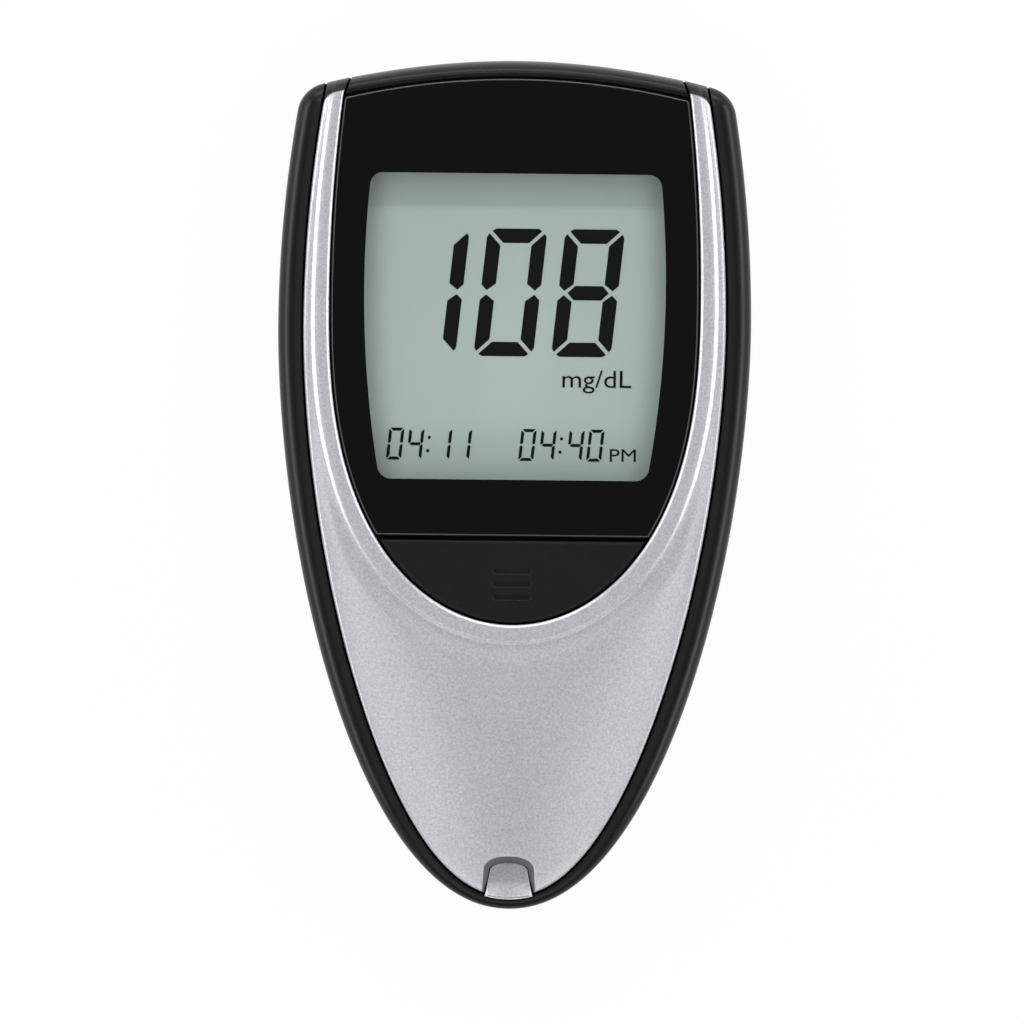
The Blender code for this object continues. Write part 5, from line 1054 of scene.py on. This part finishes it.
def display_frame():
    """Plate with its window, then bridge, key tray and the wall between lens and key."""
    arc_x = np.linspace(0, collar_side(lens_edge(COLLAR_HALF)) - SEAM_GAP, 40)
    top = points_at(arc_x, lens_edge(arc_x) + SEAM_GAP + END_WALL / 2)
    step_y, plate_low = TOP_Y - STEP_DOWN, LENS_BOTTOM_Y + TRAY_WALL / 2
    side = collar_curve(FLANGE, step_y)
    outline = np.concatenate([top, [(collar_side(step_y) - SEAM_GAP, step_y)], side[side[:, 1] > plate_low],
                              [(collar_x(FLANGE, plate_low), plate_low)]])
    plate = prism("display_frame_fine", mirrored(outline), PLATE_BASE, PLATE_TOP, SHELL_BLACK)
    tray_top = key_low.z - TRAY_DROP - PLAY
    tray_base = tray_top - TRAY_THICK
    low, half = collar_curve(FLANGE, COLLAR_WIDEST_Y), collar_x(FLANGE, LENS_BOTTOM_Y)
    right = np.concatenate([[(half, LENS_BOTTOM_Y)], low[low[:, 1] < LENS_BOTTOM_Y]])
    tray = prism("tray", mirrored(right), tray_base, tray_top)
    wall = block("wall", (-half, half), (LENS_BOTTOM_Y - SEAT_GAP, LENS_BOTTOM_Y + TRAY_WALL),
                 (tray_base, PLATE_TOP))
    bosses = [cylinder(f"boss_{i}", BOSS_RADIUS, board_high.z + SEAT_GAP, PLATE_BASE + SINK, place)
              for i, place in enumerate(SCREWS[:2])]
    carve(plate, "UNION", bridge(), tray, wall, *bosses)
    holes = [cylinder(f"pilot_{i}", SCREW_RADIUS + SEAT_GAP, board_high.z - OVERRUN,
                      board_high.z + PILOT_DEPTH, place) for i, place in enumerate(SCREWS[:2])]
    stem = cylinder("stem_hole", STEM_HOLE, tray_base - OVERRUN, tray_top + SINK, (0, KEY_Y))
    window = prism("window", window_outline(PLAY), PLATE_BASE - OVERRUN, PLATE_TOP + OVERRUN)
    return carve(plate, "DIFFERENCE", window, stem, *holes)


smooth_piece(display_frame(), "black_shell", "display_frame")

# %% [markdown]
# The lens is one clear plate with a black print round its window. The print and the window are
# faces of the same piece, so both share its polish, and only the window lets the display through.

# %% Lens
LENS_CORNER, LENS_BEVEL, BEVEL_RINGS, APART = 0.5 * MM, 0.16 * MM, 5, 0.0005
SMEAR_SCALE, LEAST_ROUGH, MOST_ROUGH, FACING_SHINE = 90.0, 0.04, 0.1, 0.02


def swap_shader(tree, shader, surface):
    """Another shader takes the Principled one's place."""
    tree.nodes.remove(shader)
    feed(tree, tree.nodes["Material Output"], {"Surface": surface.outputs[0]})


def clear_window():
    """Clear plastic shines by 0.02 plus 0.98 times the fifth power of one less the cosine."""
    finish, tree, shader = new_finish("clear_window")
    through = add_node(tree, "BsdfTransparent", {"Color": (0.96, 0.97, 0.965, 1)})
    smear = add_node(tree, "TexNoise", {"Vector": object_place(tree), "Scale": SMEAR_SCALE})
    rough = add_node(tree, "MapRange", {"Value": smear.outputs["Fac"], "To Min": LEAST_ROUGH,
                                        "To Max": MOST_ROUGH})
    gloss = add_node(tree, "BsdfGlossy", {"Roughness": rough.outputs[0]})
    slant = add_node(tree, "LayerWeight", {"Blend": 0.5}).outputs["Facing"]
    share = calc(tree, "MULTIPLY_ADD", calc(tree, "POWER", slant, 5.0), 1 - FACING_SHINE, FACING_SHINE)
    mix = add_node(tree, "MixShader", {0: share, 1: through.outputs[0], 2: gloss.outputs[0]})
    swap_shader(tree, shader, mix)
    return finish


def lens_outline(inset):
    """Top arc, a small round, sides along the collar, and a straight lower edge."""
    low = LENS_BOTTOM_Y + inset
    corner_x = collar_side(lens_edge(COLLAR_HALF)) - SEAM_GAP - inset
    round_y = lens_edge(corner_x) - inset - LENS_CORNER
    side = collar_curve(-SEAM_GAP - inset, round_y, 60)
    side = side[side[:, 1] > low + SINK]
    arc_x = np.linspace(0, corner_x - LENS_CORNER, 50)
    top = points_at(arc_x, lens_edge(arc_x) - inset)
    first, last, corner = top[-1], side[0], np.array([side[0, 0], top[-1, 1]])
    share = np.linspace(0, 1, 10)[1:-1, None]
    turn = (1 - share) ** 2 * first + 2 * share * (1 - share) * corner + share**2 * last
    return mirrored(np.concatenate([top, turn, side, [(collar_x(-SEAM_GAP - inset, low), low)]]))


def seen_from(centre, outline, angles):
    """Where rays at some angles from a point meet a closed outline."""
    start = outline - centre
    turn = np.arctan2(start[:, 1], start[:, 0])
    order = np.argsort(turn)
    start, turn = start[order], turn[order]
    which = np.searchsorted(turn, angles, side="right") - 1
    near, far = start[which], np.roll(start, -1, 0)[which]
    ray = points_at(np.cos(angles), np.sin(angles))
    run = far - near
    beside = ray[:, 0] * near[:, 1] - ray[:, 1] * near[:, 0]
    share = -beside / (ray[:, 0] * run[:, 1] - ray[:, 1] * run[:, 0])
    return centre + near + run * share[:, None]


def display_lens():
    """Rings from the window out over the bevel, down the wall and back in, with a pane at both ends."""
    centre = np.array([0, (WINDOW_TOP_Y + WINDOW_LOW_Y) / 2])
    window = window_outline(0)
    spokes = np.concatenate([window, lens_outline(0)]) - centre
    angles = np.sort(np.arctan2(spokes[:, 1], spokes[:, 0]))
    angles = angles[np.concatenate([[True], np.diff(angles) > APART])]
    pane = seen_from(centre, window, angles)
    rings = [at_height(pane, lens_low.z), at_height(seen_from(centre, lens_outline(0), angles), lens_low.z)]
    rings += [at_height(seen_from(centre, lens_outline(inset), angles), lens_high.z - drop)
              for inset, drop in round_steps(LENS_BEVEL, LENS_BEVEL, BEVEL_RINGS)]
    rings.append(at_height(pane, lens_high.z))
    piece = loft("clear_lens", rings, PRINT_BLACK, clear_window(), LENS_EDGE_HIGHLIGHT)
    # The bevel faces take the lighter grey, which is a painted highlight along the lens edge.
    for face in piece.data.polygons:
        bevel = 2 <= face.index // len(angles) < len(rings) - 2
        face.material_index = 1 if len(face.vertices) > 4 else 2 * bevel
    return piece


smooth_piece(display_lens(), "lens_panel", "display_lens", angle=10)

# %% [markdown]
# The memory key is a hollow cap with a flange below and a slightly rough top. Its mark is pressed
# in: three short lines, a plain sign for a list of stored readings.

# %% Memory key
KEY_TOP_Y, KEY_TOP = LENS_BOTTOM_Y - 0.48 * MM, HEIGHT - 0.5 * MM
KEY_WALL, KEY_ROOF, KEY_FLANGE, KEY_ROUND, KEY_FALL = 1 * MM, 1.2 * MM, 0.5 * MM, 0.6 * MM, 0.3 * MM
FLANGE_THICK, STEM_RADIUS, KEY_POINTS, EDGE_POINTS, KEY_ROWS = 0.8 * MM, 1.6 * MM, 90, 30, 9
MARK_WIDTH, MARK_BAR, MARK_PITCH, MARK_DEPTH = 4.4 * MM, 0.62 * MM, 1.5 * MM, 0.18 * MM


def key_outline(inset, flange):
    """Straight along the lens and round along the collar."""
    top = KEY_TOP_Y - inset
    outwards = flange - SEAM_GAP - inset
    curve = collar_curve(outwards, COLLAR_WIDEST_Y, 4, 400)
    curve = np.concatenate([[(collar_x(outwards, top), top)], curve[curve[:, 1] < top - SEAM_GAP / 4]])
    straight = np.linspace((0, top), curve[0], EDGE_POINTS, endpoint=False)
    spent = np.linalg.norm(np.diff(curve, axis=0), axis=1)
    return mirrored(np.concatenate([straight, resampled(curve, spent, KEY_POINTS)]))


def memory_key():
    """Levels down the inside from the roof, out round the flange and up to the soft top edge."""
    roof, flange_base = KEY_TOP - KEY_ROOF, PLATE_TOP - FLANGE_THICK
    levels = [(KEY_WALL, 0, roof), (KEY_WALL, 0, flange_base), (0, KEY_FLANGE, flange_base),
              (0, KEY_FLANGE, PLATE_TOP), (0, 0, PLATE_TOP + SEAT_GAP)]
    levels += [(inset, 0, KEY_TOP - drop) for inset, drop in round_steps(KEY_ROUND, KEY_FALL, KEY_ROWS)]
    cap = loft("memory_key_cap", [at_height(key_outline(inset, flange), z) for inset, flange, z in levels],
               KEY_BLACK)
    carve(cap, "UNION", cylinder("stem", STEM_RADIUS, key_low.z, roof + SINK, (0, KEY_Y)))
    bars = [prism(f"mark_{i}", rounded_rectangle(MARK_WIDTH, MARK_BAR, MARK_BAR / 2.2,
                                                 (0, KEY_Y + i * MARK_PITCH)),
                  KEY_TOP - MARK_DEPTH, KEY_TOP + MARK_DEPTH) for i in (-1, 0, 1)]
    return carve(cap, "DIFFERENCE", *bars)


smooth_piece(memory_key(), "button_black", "memory_button", body="memory_key")

# %% [markdown]
# A segment display shows black bars on a greenish reflector. The film's colour drifts a little, and
# the bars are thin plates on it. A digit is seven bars with mitred ends in a cell that leans.

# %% Display film and segments
SEGMENT_THICK, SLANT = 0.03 * MM, math.tan(math.radians(6.0))
GLYPHS = {"0": "abcdef", "1": "bc", "4": "bcfg", "8": "abcdefg"}
NICK, NICK_RUN, POINT, POINT_RUN = 0.16, 2.6, 0.64, 1.12
OUTER_REST, NOTCH_IN, NOTCH_REST, INNER_REST = 0.53, 0.4, 0.15, 0.61
LARGE = (6.83 * MM, 14.6 * MM, 1.64 * MM, 0.30 * MM)
SMALL = (1.74 * MM, 3.65 * MM, 0.35 * MM, 0.10 * MM)
LARGE_PITCH, LARGE_X, LARGE_Y = 8.88 * MM, -13.58 * MM, 14.72 * MM
SMALL_PLACES, SMALL_Y = [0, 2.3 * MM, 5.5 * MM, 7.76 * MM], 2.78 * MM
LEFT_X, RIGHT_X = -14.57 * MM, 0.55 * MM
COLON_X, COLON_Y, COLON_MIDDLE = 4.87 * MM, (1.05 * MM, 2.57 * MM), 1.8 * MM
DOT_RADIUS, DOT_POINTS = 0.19 * MM, 24


def digit_bars(width, height, bar, slit):
    """Corner points of the seven bars, for a cell whose lower left corner is the origin."""
    middle, nick = height / 2, bar * NICK
    nicked = slit + NICK_RUN * nick
    top = np.array([(nicked, height), (width - nicked, height), (width - slit - nick, height - nick),
                    (width - slit - bar, height - bar), (slit + bar, height - bar),
                    (slit + nick, height - nick)])
    side = np.array([(width - nick, height - slit - nick), (width, height - nicked),
                     (width, middle + OUTER_REST * bar), (width - NOTCH_IN * bar, middle + NOTCH_REST * bar),
                     (width - bar, middle + INNER_REST * bar), (width - bar, height - slit - bar)])
    point, shoulder, half = POINT * bar, POINT_RUN * bar, bar / 2
    centre = np.array([(point, middle), (shoulder, middle + half), (width - shoulder, middle + half),
                       (width - point, middle), (width - shoulder, middle - half),
                       (shoulder, middle - half)])
    across, up = np.array([width, 0]), np.array([0, height])
    return {"a": top, "d": up + top * (1, -1), "b": side, "c": up + side * (1, -1),
            "f": across + side * (-1, 1), "e": across + up - side, "g": centre}


def digit(character, x, y, size):
    """The bars that a character lights, leaned over and moved to their place."""
    bars = digit_bars(*size)
    return [bars[name] + np.outer(bars[name][:, 1], (SLANT, 0)) + (x, y) for name in GLYPHS[character]]


plates = []
for i, character in enumerate("108"):
    plates += digit(character, LARGE_X + i * LARGE_PITCH, LARGE_Y, LARGE)
for start, characters in ((LEFT_X, "0411"), (RIGHT_X, "0440")):
    for place, character in zip(SMALL_PLACES, characters):
        plates += digit(character, start + place, SMALL_Y, SMALL)
    for y in COLON_Y:
        dot = (start + COLON_X + SLANT * (y - COLON_MIDDLE), SMALL_Y + y)
        plates.append(arc(dot, DOT_RADIUS, 0, 2 * np.pi, DOT_POINTS))


def plate_solid(name, outlines, low, thick, finish):
    """Flat outlines drawn up by a small thickness, all in one piece."""
    points, faces, first = [], [], 0
    for outline in outlines:
        near = first + np.arange(len(outline))
        far = near + len(outline)
        points += [at_height(outline, low), at_height(outline, low + thick)]
        faces += walls_between(near, far) + [near[::-1].tolist(), far.tolist()]
        first += 2 * len(outline)
    return skin(name, np.concatenate(points), faces, finish)


segments = plate_solid("lcd_segments", plates, film_high.z, SEGMENT_THICK, SEGMENT_BLACK)
smooth_piece(segments, "display_film")

# %% Display words


def word(name, text, left, right, low, cap_height):
    """Plain lettering made a mesh, then stretched to the width and cap height that the display has."""
    curve = bpy.data.curves.new(name, "FONT")
    curve.body = text
    thing = in_scene(name, curve)
    bpy.context.view_layer.update()
    mesh = bpy.data.meshes.new_from_object(thing.evaluated_get(bpy.context.evaluated_depsgraph_get()))
    bpy.data.objects.remove(thing)
    points = np.zeros(len(mesh.vertices) * 3)
    mesh.vertices.foreach_get("co", points)
    points = points.reshape(-1, 3)
    points[:, 0] = left + (points[:, 0] - points[:, 0].min()) / np.ptp(points[:, 0]) * (right - left)
    points[:, 1] = low + points[:, 1] / points[:, 1].max() * cap_height
    points[:, 2] = film_high.z
    mesh.vertices.foreach_set("co", points.ravel())
    data = bmesh.new()
    data.from_mesh(mesh)
    bmesh.ops.remove_doubles(data, verts=data.verts, dist=MM / 1000)
    drawn = bmesh.ops.extrude_face_region(data, geom=data.faces[:])
    lifted = [part for part in drawn["geom"] if isinstance(part, bmesh.types.BMVert)]
    bmesh.ops.translate(data, verts=lifted, vec=(0, 0, SEGMENT_THICK))
    bmesh.ops.recalc_face_normals(data, faces=data.faces)
    data.to_mesh(mesh)
    data.free()
    mesh.materials.clear()
    mesh.materials.append(SEGMENT_BLACK)
    smooth_piece(in_scene(name, mesh), "display_film")


word("lcd_unit", "mg/dL", 5.53 * MM, 13.41 * MM, 11.23 * MM, 1.98 * MM)
word("lcd_half_day", "PM", 11.04 * MM, 14.02 * MM, 2.79 * MM, 1.44 * MM)

# %% [markdown]
# The stage is a plain white floor. Seen directly or in a reflection it is white, but it still takes
# the meter's shadow, and light from below passes through it, so that the back can be looked at too.

# %% Floor, lamps and camera
FLOOR_HALF, FLOOR_DROP, SHADOW_SHARE = 6, SEAT_GAP / 10, 0.05


def stage_floor():
    """White light mixed with plain diffuse, which holds the shadow, and clear to all other rays."""
    finish, tree, shader = new_finish("stage_white")
    path = add_node(tree, "LightPath").outputs
    seen = calc(tree, "MAXIMUM", path["Is Camera Ray"], path["Is Glossy Ray"])
    seen = calc(tree, "MAXIMUM", seen, path["Is Transmission Ray"])
    front = calc(tree, "SUBTRACT", 1.0, add_node(tree, "NewGeometry").outputs["Backfacing"])
    white = add_node(tree, "Emission", {"Color": (1, 1, 1, 1), "Strength": 1.0})
    plain = add_node(tree, "BsdfDiffuse", {"Color": (0.9, 0.9, 0.9, 1)})
    mixed = add_node(tree, "MixShader", {0: SHADOW_SHARE, 1: white.outputs[0], 2: plain.outputs[0]})
    clear = add_node(tree, "BsdfTransparent")
    shown = calc(tree, "MULTIPLY", seen, front)
    whole = add_node(tree, "MixShader", {0: shown, 1: clear.outputs[0], 2: mixed.outputs[0]})
    swap_shader(tree, shader, whole)
    square = np.array([(-1, -1), (1, -1), (1, 1), (-1, 1)])
    floor = skin("stage_floor", at_height(square * FLOOR_HALF, -FLOOR_DROP), [[0, 1, 2, 3]], finish)


def lamp(name, place, size, power):
    """A soft box that points at the meter."""
    light = bpy.data.lights.new(name, "AREA")
    light.shape = "RECTANGLE"
    light.size, light.size_y = size
    light.energy = power
    thing = in_scene(name, light)
    thing.location = place
    thing.rotation_euler = (-mathutils.Vector(place)).to_track_quat("-Z", "Y").to_euler()


LAMPS = {
    "left_top": ((-0.27, 0, 0.56), (1.2, 0.34), 1.32),
    "right_top": ((0.27, 0, 0.56), (1.2, 0.34), 1.23),
    "tip_top": ((0, -0.55, 0.38), (0.8, 0.16), 1.05),
    "end_top": ((0, 0.5, 0.45), (0.8, 0.06), 1.3),
    "left_low": ((-0.6, 0, 0.12), (0.9, 0.15), 2.9),
    "right_low": ((0.6, 0, 0.12), (0.9, 0.15), 2.8),
    "end_low": ((0, 0.6, 0.12), (0.9, 0.14), 2.6),
}
stage_floor()
for name, (place, size, power) in LAMPS.items():
    lamp(name, place, size, power)
world = bpy.data.worlds.new("studio")
world.use_nodes = True
world.node_tree.nodes["Background"].inputs["Color"].default_value = (0.16, 0.16, 0.165, 1)
bpy.context.scene.world = world
bpy.context.scene.view_settings.view_transform = "Standard"
print("lamps:", list(LAMPS))

# %% Camera
FRAME_WIDTH, SENSOR = 117.1 * MM, 36
CAMERA_RISE, FOCUS_HEIGHT = 3, 13 * MM
VIEW_X, VIEW_Y, ROLL = -0.07 * MM, -3.08 * MM, math.radians(0.62)
camera_data = bpy.data.cameras.new("photo_camera")
camera_data.sensor_width = SENSOR
camera_data.lens = SENSOR * (CAMERA_RISE - FOCUS_HEIGHT) / FRAME_WIDTH
camera = in_scene("photo_camera", camera_data)
camera.location = (VIEW_X, VIEW_Y, CAMERA_RISE)
camera.rotation_euler = (0, 0, ROLL)
bpy.context.scene.camera = camera
print("lens", round(camera_data.lens), "mm")
